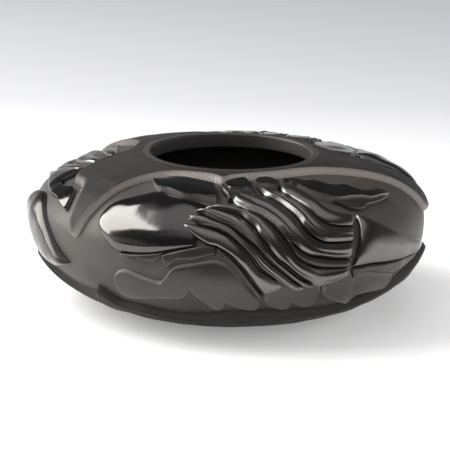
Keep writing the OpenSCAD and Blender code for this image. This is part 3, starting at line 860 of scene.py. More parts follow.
@dataclass
class Carver:
    """Cuts closed raised pieces that stand on the carved ground of a belly."""

    belly: Belly
    sunk: float = 0.6  # how far a piece reaches into the ground, in millimetres
    crowding: float = 0.25  # how much closer together the steps along a piece lie near its ends
    bevel_steps: int = 8
    bevel_round: float = 0.85  # 1 is a quarter of a sine wave, and less is a fuller cut
    levelling: float = 0.25  # share of a slab over which its steps come square to the ring
    calm: float = 6.0  # the hand's unevenness fades out over one part in this many at each edge
    rubbed_off: float = 0.75  # share of the sand that rubbing takes off
    rubbed_fade: float = 24.0  # degrees over which the rubbing fades in
    neighbour: int = 4  # how many places away a line's heading is taken from
    hand_size: float = 0.013  # about how long a wave of the hand's unevenness is, in metres
    hand_reach: float = 0.13  # how far it goes up and down, in millimetres

    def __post_init__(self) -> None:
        """Chooses the hand's unevenness and measures one degree of the widest ring."""
        self.mm_per_degree = math.pi * self.belly.belly_r / 180
        self.hand = Hand(SEED, self.hand_size, self.hand_reach)

    def raised(
        self, name: str, low: Line, high: Line, section: Section,
        turn: float = 0.0, cols: int = 110, rows: int = 22,
    ) -> bpy.types.Object:
        """Makes a raised piece between two edges that both run left to right.

        Args:
            name: the piece's name.
            low: its lower edge.
            high: its upper edge.
            section: how it stands up between them.
            turn: how far round the pot it is moved, in degrees.
            cols: steps along it.
            rows: steps across it.

        Returns:
            The finished piece.
        """
        low_line = evenly(spline(low, LINE_STEPS), cols, self.mm_per_degree)[:, None]
        high_line = evenly(spline(high, LINE_STEPS), cols, self.mm_per_degree)[:, None]
        across = (0.5 - 0.5 * np.cos(np.linspace(0, math.pi, rows + 1)))[None, :]
        even = np.linspace(0, 1, cols + 1)
        eased = 0.5 - 0.5 * np.cos(math.pi * even)
        along = ((1 - self.crowding) * even + self.crowding * eased)[:, None]
        low_line, high_line = (self._slide(line, along) for line in (low_line, high_line))
        spot = low_line + (high_line - low_line) * across[..., None]
        flat = spot * np.array([self.mm_per_degree, 1.0])
        width = np.linalg.norm(flat[:, -1] - flat[:, 0], axis=-1)[:, None]
        middle = flat[:, rows // 2]
        length = float(np.linalg.norm(np.diff(middle, axis=0), axis=-1).sum())
        along = np.broadcast_to(along, width.shape)
        lift = section.lift(along, across, width, length)
        skin = self.belly.place(spot[..., 0] + turn, spot[..., 1], 0.0)
        lift = lift + self.hand.at(skin) * np.clip(lift / section.rise, 0, 1)
        top = self.belly.place(spot[..., 0] + turn, spot[..., 1], lift)
        back = spot[:, [rows, rows // 2, 0]]
        under = self.belly.place(back[..., 0] + turn, back[..., 1], -self.sunk)
        loops = np.concatenate([top, under], 1)
        wall = section.wall(along, across, width, length)
        marks = None
        if section.edge > STEEP_EDGE:
            marks = {"wall": np.concatenate([wall, np.ones((cols + 1, 3))], 1).ravel()}
        count = loops.shape[1]
        faces: list[list[int]] = [list(range(count))[::-1], list(range(cols * count, (cols + 1) * count))]
        for i in range(cols):
            for j in range(count):
                a, b = i * count + j, i * count + (j + 1) % count
                faces.append([a, b, b + count, a + count])
        return add_mesh(name, loops.reshape(-1, 3), faces, marks)

    def _slide(self, line: np.ndarray, along: np.ndarray) -> np.ndarray:
        """Moves evenly spaced places along their line.

        Args:
            line: the places.
            along: where each of them goes, 0 to 1 from one end to the other.

        Returns:
            The moved places.
        """
        at = along[:, 0] * (len(line) - 1)
        steps = np.arange(len(line))
        return np.stack([np.interp(at, steps, line[:, 0, k]) for k in (0, 1)], -1)[:, None]

    def band(
        self, name: str, edge: Line, ring: float, bevel: float, sand: float, rubbed: Point, rows: int = 24
    ) -> bpy.types.Object:
        """Makes a slab all round the pot, from a line of cut edges to a plain ring.

        Args:
            name: the piece's name.
            edge: the line along which the sloping cut meets the ground.
            ring: how far up the skin the plain ring lies.
            bevel: width of the sloping cut, in millimetres.
            sand: how sandy the cut was left, from 0 to 1.
            rubbed: from which to which angle the sand was rubbed down afterwards.
            rows: steps from the cut to the ring.

        Returns:
            The slab; its "cut" attribute is sand on the sloping cut.
        """
        foot = spline(edge, ROUND_STEPS, closed=True)
        cols = len(foot)
        inward = 1.0 if ring > edge[0][1] else -1.0
        into = self._uphill(foot) * inward
        brow = foot + into * bevel
        level = np.maximum.accumulate(brow[:, 0])
        relief = self.belly.relief
        section: list[tuple[np.ndarray, np.ndarray, np.ndarray, float]] = []
        flat = np.zeros(cols)
        section.append((foot[:, 0], foot[:, 1], flat - self.sunk, sand))
        for share in np.linspace(0, 1, self.bevel_steps + 1):
            spot = foot + into * bevel * share
            lift = relief * math.sin(share * math.pi / 2) ** self.bevel_round
            sandy = sand * float(np.clip(1.35 - share * 1.1, 0, 1))
            section.append((spot[:, 0], spot[:, 1], flat + lift, sandy))
        for share in np.linspace(0, 1, rows + 1)[1:]:
            angle = brow[:, 0] + (level - brow[:, 0]) * min(1.0, share / self.levelling)
            up = brow[:, 1] + (ring - brow[:, 1]) * share
            rough = self.hand.at(self.belly.place(angle, up, relief))
            rough = rough * min(1.0, share * self.calm) * min(1.0, (1 - share) * self.calm)
            section.append((angle, up, relief + rough, 0.0))
        for share in (1.0, 0.66, 0.33):
            up = brow[:, 1] + (ring - brow[:, 1]) * share
            section.append((level, up, flat - self.sunk, 0.0))
        points = np.stack([self.belly.place(a, u, h) for a, u, h, _ in section], 1)
        inside = np.minimum(foot[:, 0] - rubbed[0], rubbed[1] - foot[:, 0])
        left_on = 1.0 - self.rubbed_off * np.clip(inside / self.rubbed_fade, 0, 1)
        cut = np.outer(left_on, [c for *_, c in section]).ravel()
        count = len(section)
        faces = []
        for i in range(cols):
            near, far = i * count, (i + 1) % cols * count
            for j in range(count):
                after = (j + 1) % count
                faces.append([near + j, near + after, far + after, far + j])
        return add_mesh(name, points.reshape(-1, 3), faces, marks={"cut": cut})

    def _uphill(self, foot: np.ndarray) -> np.ndarray:
        """Finds the way up the skin, square to a line that runs once round the pot.

        Args:
            foot: the line's places, one row each.

        Returns:
            A step of one millimetre at each place. It goes only half as far round the pot as a
            square step would, which keeps the steps apart where the line bends.
        """
        cols, near = len(foot), self.neighbour
        lap_ahead = np.where(np.arange(cols) >= cols - near, 360.0, 0.0)[:, None] * [1, 0]
        lap_behind = np.where(np.arange(cols) < near, 360.0, 0.0)[:, None] * [1, 0]
        ahead = np.roll(foot, -near, 0) + lap_ahead
        behind = np.roll(foot, near, 0) - lap_behind
        heading = (ahead - behind) * [self.mm_per_degree, 1.0]
        heading /= np.linalg.norm(heading, axis=-1)[:, None]
        return np.stack([-heading[:, 1] / self.mm_per_degree / 2, heading[:, 0]], -1)


# ---------------------------------------------------------------- the pot's pieces


class Dresser:
    """Dresses finished pieces: material, the body they ride on and the plain solid they stand for."""

    def __init__(self) -> None:
        """Starts with no materials made."""
        self.made: dict[str, bpy.types.Material] = {}
        self.pieces: list[bpy.types.Object] = []

    def material(self, finish: Clay | Mica) -> bpy.types.Material:
        """Makes the material of a finish, or finds it where it is already made.

        Args:
            finish: the finish.

        Returns:
            Its material.
        """
        if finish.name not in self.made:
            self.made[finish.name] = finish.material()
        return self.made[finish.name]

    def dress(self, piece: bpy.types.Object, finish: Clay | Mica, *nodes: str) -> bpy.types.Object:
        """Dresses a piece.

        Args:
            piece: the piece.
            finish: what it is dressed in.
            nodes: the plain solids that it stands for.

        Returns:
            The same piece.
        """
        piece.data.materials.clear()
        piece.data.materials.append(self.material(finish))
        piece.data.set_sharp_from_angle(angle=math.radians(SHARP_ANGLE))
        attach(piece, "root")
        if nodes:
            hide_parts(*nodes)
        self.pieces.append(piece)
        LOG.info("%s: %d faces", piece.name, len(piece.data.polygons))
        return piece


@dataclass
class ThrownBody:
    """The turned pot under the carving: its base, its wall and its lip."""

    belly: Belly
    base_t: float = 6.0
    lip_w: float = 3.4
    lip_round: float = 1.0
    steps: int = 360
    wobble: float = 0.5
    tuck_in: float = 0.5  # how far the wall's inside reaches down past the floor, in millimetres
    tuck_out: float = 1.5  # how far its outside does

    @property
    def lip_arc(self) -> float:
        """Finds where the lip's flat top starts.

        Returns:
            Its arc length.
        """
        upper = self.belly.arc > 0
        radius = self.belly.r[upper]
        return float(np.interp(-(self.belly.mouth_r + self.lip_w), -radius, self.belly.arc[upper]))

    @property
    def inner_depth(self) -> float:
        """Depth of the wall's inside under the skin."""
        return self.belly.relief + self.belly.wall

    def build(self, dresser: Dresser) -> None:
        """Builds and dresses the three pieces.

        Args:
            dresser: what dresses them.
        """
        belly = self.belly
        ground = belly.profile(belly.arc_base, self.lip_arc, belly.relief, count=120)
        inside = belly.profile(belly.arc_base, self.lip_arc, self.inner_depth, count=90)
        inside = [p for p in inside if p[1] >= self.base_t - self.tuck_in]
        wall = [p for p in ground if p[1] >= self.base_t - self.tuck_out]
        shell = lathe("thrown_wall", wall + inside[::-1], self.steps, self.wobble, dresser.material(GROUND))
        walls = ("foot_wall", "lower_wall", "upper_wall", "shoulder_wall")
        dresser.dress(shell, GROUND, *walls)
        foot = [p for p in ground if 0.0 <= p[1] <= self.base_t]
        outer_r, inner_r, top = foot[0][0], inside[0][0], self.base_t
        # Underneath it is a little hollow between its middle and its foot, and its floor dips inside.
        disc = [
            (0.0, 0.0), (outer_r * 0.55, 0.35), (outer_r - 6.0, 0.3), (outer_r - 2.5, 0.0), *foot,
            (inner_r + 0.4, top), (inner_r * 0.5, top - 0.4), (0.0, top - 0.6),
        ]
        dresser.dress(lathe("base_floor", disc, self.steps, 0.0, dresser.material(RAW)), RAW, "base_disc")
        dresser.dress(lathe("rim", self._rim(), self.steps, 0.0, dresser.material(RIM)), RIM, "lip_ring")

    def _rim(self) -> list[Point]:
        """Draws the lip: flat top, rounded edges and the short throat below.

        Returns:
            The outline as (radius, height).
        """
        belly, turn = self.belly, self.lip_round
        flat = belly.profile(self.lip_arc, belly.arc_mouth, 0.0, count=14)
        top = [p for p in flat if p[0] > belly.mouth_r + 1.2 * turn]
        z_low = belly.height - self.inner_depth
        bends = [(1 - math.sin(a), 1 - math.cos(a)) for a in np.radians(np.linspace(0, 90, 9))]
        inner_top = [(belly.mouth_r + turn * s, belly.height - turn * c) for s, c in bends]
        inner_low = [(belly.mouth_r + turn * c, z_low + turn * s) for s, c in bends]
        under = belly.profile(self.lip_arc, self.lip_arc + 0.1, self.inner_depth, count=2)[:1]
        return top + inner_top + inner_low + under


# Edge of the shoulder clay over one panel, from the tongue on its left to the tongue on its right.
PANEL_BROW = [
    (-48, 4), (-46.4, 8), (-45.4, 20), (-45.6, 34), (-43.4, 45), (-38, 53), (-30, 57.4), (-18, 58.6),
    (-9, 57.4), (-4, 54.6), (1, 57.4), (12, 59.4), (30, 60), (45, 59), (55, 56), (63, 51), (70, 44),
    (75, 36.5), (78, 28), (79, 18), (80.6, 8),
]
# Edge of the shoulder clay over the side panel, which lies between the two wide ones.
SIDE_BROW = [
    (226, 7), (228.4, 18), (230, 30), (233.6, 44), (241, 53), (251, 56), (262, 56), (268, 53.6), (273, 47.6),
    (279, 40), (284, 33.4), (289, 29.6), (295, 30), (300, 27.4), (304.6, 20.6), (307.6, 14), (309.6, 7),
]
# Edge of the base clay under one wide panel, and then under the side panel.
PANEL_FOOT = [
    (-45, -25), (-42, -19), (-39, -23), (-36, -29), (-28, -30), (-20, -34), (-8, -33), (0, -28), (14, -27),
    (26, -30), (36, -31), (44, -28), (54, -22), (62, -18), (70, -11), (76, -6), (82, -11), (86, -22),
]
SIDE_FOOT = [(230, -24), (238, -28), (250, -30), (262, -26), (274, -17), (284, -13), (296, -23), (306, -27)]


@dataclass
class MatteClay:
    """The unrubbed clay over the shoulder and round the base, with its sandy cut edges."""

    carver: Carver
    lip_arc: float
    panel_turn: float = PANEL_TURN
    bevel: float = 2.8
    lap: float = 0.3  # how far the shoulder clay reaches past the start of the lip, in millimetres
    flakes: float = 1.6e6  # mica flakes per square metre
    rubbed: Point = (216.0, 308.0)  # between which angles the sand was rubbed down

    def _all_round(self, panel: Line, side: Line) -> list[Point]:
        """The edge over both panels and then over the side."""
        return [*panel, *((a + self.panel_turn, s) for a, s in panel), *side]

    def build(self, dresser: Dresser) -> None:
        """Builds and dresses both slabs and their mica.

        Args:
            dresser: what dresses them.
        """
        belly = self.carver.belly
        for name, panel, side, ring, sand in (
            ("shoulder", PANEL_BROW, SIDE_BROW, self.lip_arc + self.lap, 1.0),
            ("base", PANEL_FOOT, SIDE_FOOT, belly.arc_base, 0.06),
        ):
            edge = self._all_round(panel, side)
            clay = self.carver.band(f"{name}_clay", edge, ring, self.bevel, sand, self.rubbed)
            dresser.dress(clay, MATTE, f"{name}_slab")
            mica = scatter_mica(f"{name}_mica", clay, self.flakes, dresser.material(MICA))
            dresser.dress(mica, MICA)


# The lines cut between the strands, each from its upper left end to its lower right end.
CUT_1 = [(-3, 6.5), (-1, 4.4), (1, 1.4), (3, -2.6), (5, -7.4), (6.5, -11.4), (8.6, -15.6)]
CUT_2 = [
    (-15, 18), (-12, 15.5), (-9, 12.5), (-6, 10), (-3.5, 9), (0, 5.5), (2, 2.5), (4, -1), (6, -5.5), (8, -10),
    (9.8, -14),
]
CUT_3 = [
    (-14.6, 20), (-11, 20), (-5, 18), (-2, 16), (0, 14), (2, 11), (4, 8), (6, 4.5), (8, 0), (12, -5),
    (16, -9.5), (19, -12.5),
]
CUT_4 = [
    (-14, 25.6), (-9.5, 26), (-7, 24.5), (-4, 22), (-1, 20), (1, 18), (3, 15), (5, 12), (7, 9), (9, 5.5),
    (12, 1), (15, -3), (18, -7), (22, -11.4),
]
CUT_5 = [
    (-9.4, 30), (-4, 29), (0, 28), (3, 26), (5, 22.5), (7, 19), (8, 15), (9.5, 11), (11, 7), (13, 3),
    (16, -1), (19, -5), (22, -8), (25, -11),
]
CUT_6 = [
    (-5, 33.6), (0, 32), (3, 30), (6, 28.5), (9, 26), (11, 23), (13, 19), (14, 16), (15.5, 12), (16.5, 8),
    (18, 4), (21, 1), (24, -1), (28, -2), (34.5, -3),
]
CUT_7 = [(16.8, 12.6), (17.6, 9.6), (19.4, 6.6), (22, 4.2), (26, 2.6), (30, 1.2), (35, 0.4)]
CUT_8 = [
    (4, 44.6), (10, 44), (13, 40), (16, 36), (18, 32), (20, 26), (21, 22), (21.5, 18), (23, 14), (25, 11),
    (28, 9), (36.5, 8),
]
CUT_9 = [(20, 48), (21, 43), (23, 38), (25, 32), (27, 25), (28, 21), (30, 18), (33, 16), (38, 15)]
CUT_10 = [(27, 50), (29.5, 46), (31.5, 40), (32, 34), (33, 28.5), (35, 25), (38, 22.4), (41, 21)]


@dataclass
class CarvedPanel:
    """One of the two wide panels: pod, strands, leaves, crest, wave and horn."""

    carver: Carver
    name: str
    turn: float
    rise: float = 2.8
    swell: float = 0.12  # share by which the strands stand over the other pieces
    kerf: float = 0.2  # half the line cut between two strands, in degrees

    def _place(
        self, dresser: Dresser, finish: Clay, name: str, low: Line, high: Line, section: Section, **size: int
    ) -> None:
        """Raises and dresses one piece of this panel.

        Args:
            dresser: what dresses it.
            finish: what it is dressed in.
            name: its name without the panel's.
            low: its lower edge.
            high: its upper edge.
            section: how it stands up between them.
            size: how many steps it has along (cols) and across (rows).
        """
        node = f"{name}_{self.name}"
        piece = self.carver.raised(f"{node}_carving", low, high, section, self.turn, **size)
        dresser.dress(piece, finish, node)

    def build(self, dresser: Dresser) -> None:
        """Builds and dresses every piece of the panel.

        Args:
            dresser: what dresses them.
        """
        self._pod(dresser)
        self._strands(dresser)
        self._leaves(dresser)
        self._upper_pieces(dresser)
        self._horn(dresser)

    def _pod(self, dresser: Dresser) -> None:
        """Makes the egg-shaped pod, the thin lip under it and the stem it hangs on.

        Args:
            dresser: what dresses them.
        """
        self._place(
            dresser, MIRROR, "pod",
            [(-41, 18), (-40, 13), (-38, 9), (-35, 5.5), (-32, 3), (-28, 2.5), (-22, 3.5), (-16, 6), (-9, 9)],
            [
                (-41, 19), (-40, 25), (-38, 30), (-35, 34), (-30, 39.5), (-27, 41), (-22, 38.5), (-14, 36.5),
                (-8, 34.5),
            ],
            Section(self.rise * 1.3, edge=0.1, rounding=2.0, power=3.2, ends=0.3), cols=150, rows=56,
        )
        self._place(
            dresser, SATIN, "pod_lip",
            [(-31, 1.6), (-28, 0), (-25.5, 1.4), (-24, 0.2), (-20.5, 0.2), (-18.5, 2.8)],
            [(-31, 2.4), (-27, 2.8), (-22, 3.9), (-17.5, 5.6)],
            Section(self.rise * 0.7, edge=0.7, rounding=0.8),
        )
        self._place(
            dresser, SATIN, "stem",
            [(-18.5, 3), (-17, -2), (-15, 1), (-13.5, 2), (-10, 2.5), (-7, 4), (-5, 5), (-3.5, 5.4)],
            [(-18.5, 4), (-15, 6.2), (-10, 8.6), (-6, 10.2), (-3.5, 9)],
            Section(self.rise * 0.75, edge=0.7, rounding=1.0),
        )

    def _strands(self, dresser: Dresser) -> None:
        """Makes the nine round strands that flow down from the upper left.

        Args:
            dresser: what dresses them.
        """
        full = self.rise * (1 + self.swell)
        plain = Section(full, edge=0.2, rounding=0.7, power=2.0, lean=0.42, ends=0.1)
        fluted = replace(plain, rise=full * 1.04, lean=0.4, flutes=3, flute_depth=0.45)
        rows = {
            "strand_1": (SATIN, CUT_1, CUT_2[4:], plain),
            "strand_2": (SOFT, CUT_2, CUT_3[:11], plain),
            "strand_3": (SOFT, CUT_3, CUT_4, fluted),
            "strand_4": (SOFT, CUT_4, CUT_5, fluted),
            "strand_5": (SOFT, [*CUT_5, (34.6, -7)], CUT_6, fluted),
            "strand_6": (SATIN, CUT_6[8:], CUT_7, plain),
            "strand_7": (
                SOFT, [(1, 43), (0.6, 37), (2, 33.4), (4, 30.8), *CUT_6[3:9], *CUT_7[1:]], CUT_8, fluted,
            ),
            "strand_8": (SOFT, [(12, 50), (12.4, 45), *CUT_8[2:]], CUT_9, fluted),
            "strand_9": (SOFT, [(22.6, 50), *CUT_9[1:]], CUT_10, plain),
        }
        for name, (finish, low, high, section) in rows.items():
            low = [(a + self.kerf, s) for a, s in low]
            high = [(a - self.kerf, s) for a, s in high]
            self._place(dresser, finish, name, low, high, section, cols=170, rows=36)

    def _leaves(self, dresser: Dresser) -> None:
        """Makes the three flat leaves with scalloped lower edges.

        Args:
            dresser: what dresses them.
        """
        leaf = Section(self.rise, edge=0.84, rounding=2.4, power=3.0, ends=0.0, slope=0.4)
        self._place(
            dresser, SATIN, "cloud_leaf",
            [
                (-33, -9), (-33, -17), (-31, -20.4), (-28, -20.8), (-22, -18.6), (-15, -17.5), (-12, -15),
                (-10.5, -11.5), (-9, -15), (-7, -18), (-5, -22), (-3, -23.8), (-1.5, -21), (-1, -18),
                (1, -20.5), (4, -22.8), (6.5, -24), (8.5, -22.5), (9, -17),
            ],
            [
                (-32, -6.5), (-29, -5), (-24, -7.2), (-19, -8.5), (-17, -5), (-15, -0.5), (-12, 1), (-8, 2.4),
                (-4, 3.6), (-1, 2), (1, -0.4), (3, -4.4), (5, -9.4), (7, -13.4), (9, -16.8),
            ],
            leaf, cols=190, rows=30,
        )
        self._place(
            dresser, SATIN, "middle_leaf",
            [
                (10.2, -17.6), (12, -21), (15, -23.5), (17, -24), (18, -22.5), (18, -18.8), (20, -20.8),
                (22, -23), (24, -23), (25.5, -21), (25.4, -17.5), (26, -12.4),
            ],
            [(9.6, -12.4), (12, -6.6), (14, -6), (17, -8), (19, -9.4), (22, -8.6), (25.6, -8.8)],
            leaf, cols=150, rows=26,
        )
        self._place(
            dresser, SATIN, "right_leaf",
            [
                (27, -15), (30, -19.5), (33, -22), (36, -24.5), (38, -26), (39, -23), (39.6, -20),
                (42, -20.4), (46, -21), (50, -22), (53, -21.5), (54, -18), (54, -14.4),
            ],
            [
                (26.2, -8.6), (30, -5.4), (34.6, -5), (36.2, -9), (38, -7.6), (41, -7), (45, -8.4),
                (50, -10.4), (54, -12.2),
            ],
            leaf, cols=150, rows=26,
        )

    def _upper_pieces(self, dresser: Dresser) -> None:
        """Makes the dark pieces along the ledge: crest, keel, two tips and the wave with its lip.

        Args:
            dresser: what dresses them.
        """
        tilted = Section(self.rise * 1.1, edge=0.97, rounding=0.3, power=6.0, ends=0.0, slope=0.45)
        level = replace(tilted, slope=0.12)
        self._place(
            dresser, MIRROR, "crest",
            [(-36, 47), (-30, 42), (-25, 41.5), (-18, 38.6), (-12, 39), (-5, 37)],
            [(-36, 51.6), (-31, 56), (-25, 57), (-20, 56.6), (-13, 55), (-8, 52), (-5.5, 46)], tilted,
        )
        self._place(
            dresser, SATIN, "keel",
            [(-4.8, 51), (-3.4, 45), (-1.4, 40.5), (-1, 37)],
            [(-3.2, 51.6), (-1.6, 46.4), (0.4, 41.4), (0.6, 37)],
            Section(self.rise, edge=0.4, rounding=0.8),
        )
        self._place(
            dresser, MIRROR, "tip_left",
            [(-2.6, 50), (0, 45.6), (5, 45.4), (9.4, 45)],
            [(-2.4, 52), (0, 54.6), (4, 57), (8, 57), (10, 50)], level,
        )
        self._place(
            dresser, MIRROR, "tip_right",
            [(12, 51.4), (15.4, 49.6), (19, 47.2), (21, 47)],
            [(12, 53), (14, 56.4), (18, 58), (22, 56.6), (24, 51)], level,
        )
        self._place(
            dresser, MIRROR, "wave",
            [
                (30, 46.6), (32.4, 40), (35, 35), (38, 32.5), (42, 31), (46, 30.5), (50, 29), (53, 27),
                (58, 26), (63.5, 25),
            ],
            [
                (26, 52.4), (28, 54), (33, 53), (36, 50), (41, 48), (43, 44), (46, 41), (50, 40), (52, 36),
                (54, 33), (58, 31), (62, 30), (64.4, 27),
            ],
            level, cols=160, rows=26,
        )
        self._place(
            dresser, SATIN, "wave_lip",
            [(41.5, 24.8), (44, 23.4), (47, 23), (50, 24.4), (54, 24.2), (58, 24), (63.5, 24.4)],
            [(38, 32), (42, 30.8), (46, 30.3), (50, 28.8), (53, 26.8), (58, 25.8), (63.5, 24.8)],
            Section(self.rise * 0.8, edge=0.8, rounding=0.8, slope=0.2),
        )

    def _horn(self, dresser: Dresser) -> None:
        """Makes the horn that closes the panel on the right, and the fold under it.

        Args:
            dresser: what dresses them.
        """
        self._place(
            dresser, SOFT, "horn",
            [(35.8, -3.4), (42, -3.4), (50, -4.8), (56, -5.4), (63, -5.8), (70, -4.4)],
            [(41.6, 21), (46, 16), (50, 11.2), (55, 6.8), (60, 3.2), (66, 0.2), (71, -3.2)],
            Section(self.rise * 1.3, edge=0.35, rounding=0.5, power=2.0, lean=0.42, ends=0.2),
            cols=150, rows=44,
        )
        self._place(
            dresser, SATIN, "horn_fold",
            [(36.2, -10.2), (38, -8), (41, -7.6), (45, -9), (50, -11), (54, -12.4), (62, -11), (69, -6.4)],
            [(35.8, -4), (42, -4), (50, -5.4), (56, -6), (63, -6.4), (70, -5)],
            Section(self.rise * 0.7, edge=0.5, rounding=1.0),
        )


@dataclass
class SidePanel:
    """The narrower panel on the left: hook, crescent, three fingers and a leaf."""

    carver: Carver
    rise: float = 2.8

    def build(self, dresser: Dresser) -> None:
        """Builds and dresses every piece of the panel.

        Args:
            dresser: what dresses them.
        """
        flat = Section(self.rise, edge=0.8, rounding=1.0, power=4.0, slope=0.3)
        moon = Section(self.rise * 1.4, edge=0.12, rounding=1.2, power=2.0, lean=0.62)
        finger = Section(self.rise * 0.65, edge=0.25, rounding=1.2, lean=0.4)
        leaf = Section(self.rise, edge=0.86, rounding=1.5, power=3.0, ends=0.0, slope=0.35)
        rows = {
            "hook": (
                MIRROR, flat,
                [(-100, 15), (-92, 19.6), (-82, 19), (-72, 17.6), (-66, 17.6), (-62, 16.4), (-57, 14.6)],
                [
                    (-100, 17), (-92, 24), (-88, 31), (-80, 34.6), (-77.6, 31), (-76, 26), (-70, 25),
                    (-66, 27), (-62.6, 26), (-59, 21.6), (-56.6, 16),
                ],
            ),
            "crescent": (
                SHEEN, moon,
                [(-92, -2), (-84, -6), (-78, -10), (-70, -16), (-62, -16.4), (-57, -14), (-51.4, -10)],
                [
                    (-92, 6), (-84, 14), (-78, 16), (-72, 13.4), (-65, 6.6), (-60, 0.6), (-55, -5.4),
                    (-51.2, -9),
                ],
            ),
            "finger_1": (
                SOFT, finger,
                [(-124, 13), (-112, 19), (-100, 20), (-90, 25.4), (-84, 34)],
                [(-124, 17), (-112, 24), (-100, 27), (-92, 33), (-84.4, 37)],
            ),
            "finger_2": (
                SOFT, finger,
                [(-125.5, 22.4), (-116, 27), (-102, 30), (-94, 36), (-88, 41.4)],
                [(-125.5, 27.4), (-116, 33), (-104, 38), (-96, 43), (-88.4, 44)],
            ),
            "finger_3": (
                SOFT, finger,
                [(-126.4, 32.6), (-120, 36), (-108, 41), (-98, 46.4), (-93, 49.4)],
                [(-126.4, 39), (-120, 43), (-110, 48), (-100, 51), (-93.4, 51.4)],
            ),
            "side_leaf": (
                SATIN, leaf,
                [
                    (-129.6, 3), (-129, -8), (-126.4, -13.4), (-122, -14.6), (-119, -9), (-114, -15),
                    (-107, -17), (-103, -10), (-98, -15), (-94, -10),
                ],
                [(-129.4, 7), (-126, 8.4), (-120, 11), (-110, 12.6), (-102, 10), (-96, 2), (-94, -6)],
            ),
        }
        for name, (finish, section, low, high) in rows.items():
            piece = self.carver.raised(f"{name}_carving", low, high, section, cols=150, rows=32)
            dresser.dress(piece, finish, name)


# ---------------------------------------------------------------- floor, light and camera


def flat_sheet(name: str, low: Point, high: Point, up: float) -> bpy.types.Object:
    """Lays a flat rectangle face up.

    Args:
        name: its name.
        low: its corner with the lowest x and y, in metres.
        high: its corner with the highest x and y, in metres.
        up: how high it lies, in metres.

    Returns:
        The sheet.
    """
    corners = [(low[0], low[1], up), (high[0], low[1], up), (high[0], high[1], up), (low[0], high[1], up)]
    return add_mesh(name, np.array(corners, float), [[0, 1, 2, 3]])


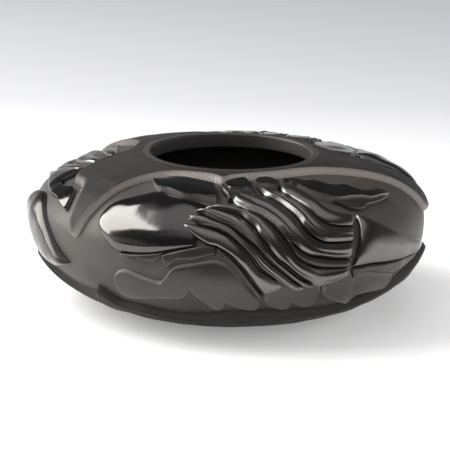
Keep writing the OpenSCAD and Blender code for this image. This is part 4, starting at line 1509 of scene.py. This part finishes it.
@dataclass
class Studio:
    """A pale floor with painted shade and a painted glow, a black sheet of painted shade seen only in
    reflections, one soft window on the left, soft light from above and the camera.
    """

    aim: float = 36.6  # how high the camera and the lights look at the pot, in millimetres
    distance: float = 0.9
    elevation: float = 14.79
    roll: float = 0.994
    lens: float = 160.06
    shift: Point = (-2.02, -3.69)  # how far the camera is moved right and up, in millimetres
    room_light: float = 1.0
    floor_half: float = 4.0
    # corners of the black sheet that paints shade into the reflections, in metres
    shade_sheet_low: Point = (-1.0, -2.4)
    shade_sheet_high: Point = (1.0, -0.22)
    backdrop: tuple[Point, ...] = (
        (0.0, 0.85), (0.12, 0.65), (0.26, 0.08), (0.8, 0.03), (0.9, 0.7), (1.0, 0.8),
    )
    front: tuple[Point, ...] = ((0.0, 0.05), (0.3, 0.05), (0.6, 0.1), (0.8, 0.65), (1.0, 0.8))

    @property
    def middle(self) -> Vector:
        """The place that the camera and the lights look at, in metres."""
        return Vector((0, 0, self.aim * MM))

    def build(self) -> None:
        """Builds everything round the pot."""
        self._floor()
        self._reflection_shade_sheet()
        self._sky()
        self._light("window", (-0.95, 0.16, 0.72), (1.2, 1.3), 32.0, (1.0, 0.985, 0.96))
        self._light("ceiling", (-0.2, -0.1, 1.6), (1.8, 1.8), 3.0, (0.97, 0.98, 1.0), glossy=False)
        self._light("front_fill", (-0.1, -1.6, 0.6), (1.6, 0.8), 9.0, (1.0, 1.0, 1.0), glossy=False)
        self._light("right_fill", (1.5, 0.1, 0.5), (1.4, 0.9), 18.0, (1.0, 1.0, 1.0), glossy=False)
        self._camera()
        bpy.context.scene.view_settings.view_transform = "Standard"

    def _floor(self) -> None:
        """The pale floor, with painted shade that turns it a cool grey far behind the pot and a painted glow
        that lightens the shadows on it.
        """
        tree = Tree("pale_floor_painted_light")
        where = tree.add("ShaderNodeTexCoord", out="Object")
        depth = tree.add("ShaderNodeSeparateXYZ", {}, {"Vector": where}, out="Y")
        # Painted shade: the floor's colour darkens with distance behind the pot.
        near = [
            (0.0, (0.8, 0.8, 0.795)), (0.19, (0.6, 0.602, 0.612)), (0.35, (0.46, 0.465, 0.482)),
            (0.51, (0.42, 0.425, 0.448)), (0.76, (0.4, 0.41, 0.435)),
        ]
        far = tree.add("ShaderNodeMapRange", {}, {"Value": depth, "From Min": 0.12, "From Max": 1.05})
        colour = tree.add("ShaderNodeValToRGB", {"stops": near}, {"Fac": far})
        # Painted light: the floor glows in its own colour, which lightens the shadows on it.
        painted_glow = {"Emission Color": colour, "Emission Strength": 0.3}
        half = self.floor_half
        floor = flat_sheet("floor", (-half, -half), (half, half), 0.0)
        floor.data.materials.append(tree.surface({"Base Color": colour, "Roughness": 0.9, **painted_glow}))

    def _sky(self) -> None:
        """The room: a lit ceiling, a dim band below it, and a pale backdrop all round but in front."""
        world = bpy.data.worlds.new("soft_room")
        world.use_nodes = True
        tree = Tree.of(world.node_tree)
        where = tree.add("ShaderNodeTexCoord", out="Generated")
        height = tree.add("ShaderNodeSeparateXYZ", {}, {"Vector": where}, out="Z")
        depth = tree.add("ShaderNodeSeparateXYZ", {}, {"Vector": where}, out="Y")
        round_pot = self._band(tree, height, self.backdrop)
        before_pot = self._band(tree, height, self.front)
        ahead = (0.0 - depth).between(0.3, 0.75)
        light = tree.mix(ahead, round_pot, before_pot)
        shine = tree.add("ShaderNodeBackground", {}, {"Color": light, "Strength": self.room_light})
        tree.links.new(shine.link, tree.nodes.new("ShaderNodeOutputWorld").inputs["Surface"])
        bpy.context.scene.world = world

    def _band(self, tree: Tree, height: Socket, stops: Sequence[Point]) -> Socket:
        """Adds a grey that changes with height.

        Args:
            tree: the tree that it is added to.
            height: the height.
            stops: the grey at each height, as (height, grey).

        Returns:
            The grey, wrapped.
        """
        grey = [(position, (value, value, value * 1.02)) for position, value in stops]
        return tree.add("ShaderNodeValToRGB", {"stops": grey}, {"Fac": height})

    def _reflection_shade_sheet(self) -> None:
        """A black sheet on the floor in front, seen only by polished faces: painted shade in their
        reflections of the floor near the pot.
        """
        shade_sheet = flat_sheet("painted_shade_sheet", self.shade_sheet_low, self.shade_sheet_high, MM)
        tree = Tree("painted_reflection_shade")
        shade_sheet.data.materials.append(tree.surface({"Base Color": (0.01, 0.01, 0.01, 1.0), "Roughness": 1.0}))
        shade_sheet.visible_camera = shade_sheet.visible_diffuse = shade_sheet.visible_shadow = False

    def _light(
        self, name: str, place: Point3, size: Point, power: float, colour: Point3, glossy: bool = True
    ) -> None:
        """Adds an area light that faces the pot.

        Args:
            name: its name.
            place: where it stands, in metres.
            size: its width and height, in metres.
            power: its power, in watts.
            colour: its colour.
            glossy: whether polished faces mirror it.
        """
        data = bpy.data.lights.new(name, "AREA")
        data.shape, data.size, data.size_y = "RECTANGLE", *size
        data.energy, data.color = power, colour
        light = bpy.data.objects.new(name, data)
        light.location = place
        light.rotation_euler = (Vector(place) - self.middle).to_track_quat("Z", "Y").to_euler()
        light.visible_glossy = glossy
        bpy.context.scene.collection.objects.link(light)

    def _camera(self) -> None:
        """Stands the camera in front, a little above the pot."""
        rise, roll = math.radians(self.elevation), math.radians(self.roll)
        back = Vector((0, -math.cos(rise), math.sin(rise)))
        right, up = Vector((1, 0, 0)), Vector((0, math.sin(rise), math.cos(rise)))
        across = right * math.cos(roll) + up * math.sin(roll)
        over = up * math.cos(roll) - right * math.sin(roll)
        data = bpy.data.cameras.new("camera")
        data.lens, data.sensor_width = self.lens, 36.0
        camera = bpy.data.objects.new("camera", data)
        turn = Matrix((across, over, back)).transposed().to_4x4()
        place = self.middle + back * self.distance + (across * self.shift[0] + over * self.shift[1]) * MM
        camera.matrix_world = Matrix.Translation(place) @ turn
        bpy.context.scene.collection.objects.link(camera)
        bpy.context.scene.camera = camera


def main() -> None:
    """Builds the pot, its finishes and the studio round it."""
    logging.basicConfig(level=logging.INFO, format="%(message)s")
    width = CAD_BOX[1][0] - CAD_BOX[0][0]
    LOG.info("width of the packed model %.1f mm", width / MM)
    belly = Belly()
    carver = Carver(belly)
    dresser = Dresser()
    body = ThrownBody(belly)
    body.build(dresser)
    MatteClay(carver, body.lip_arc).build(dresser)
    for name, turn in (("front", 0.0), ("rear", PANEL_TURN)):
        CarvedPanel(carver, name, turn).build(dresser)
    SidePanel(carver).build(dresser)
    Studio().build()
    LOG.info("%d pieces", len(dresser.pieces))


if __name__ == "__main__":
    main()
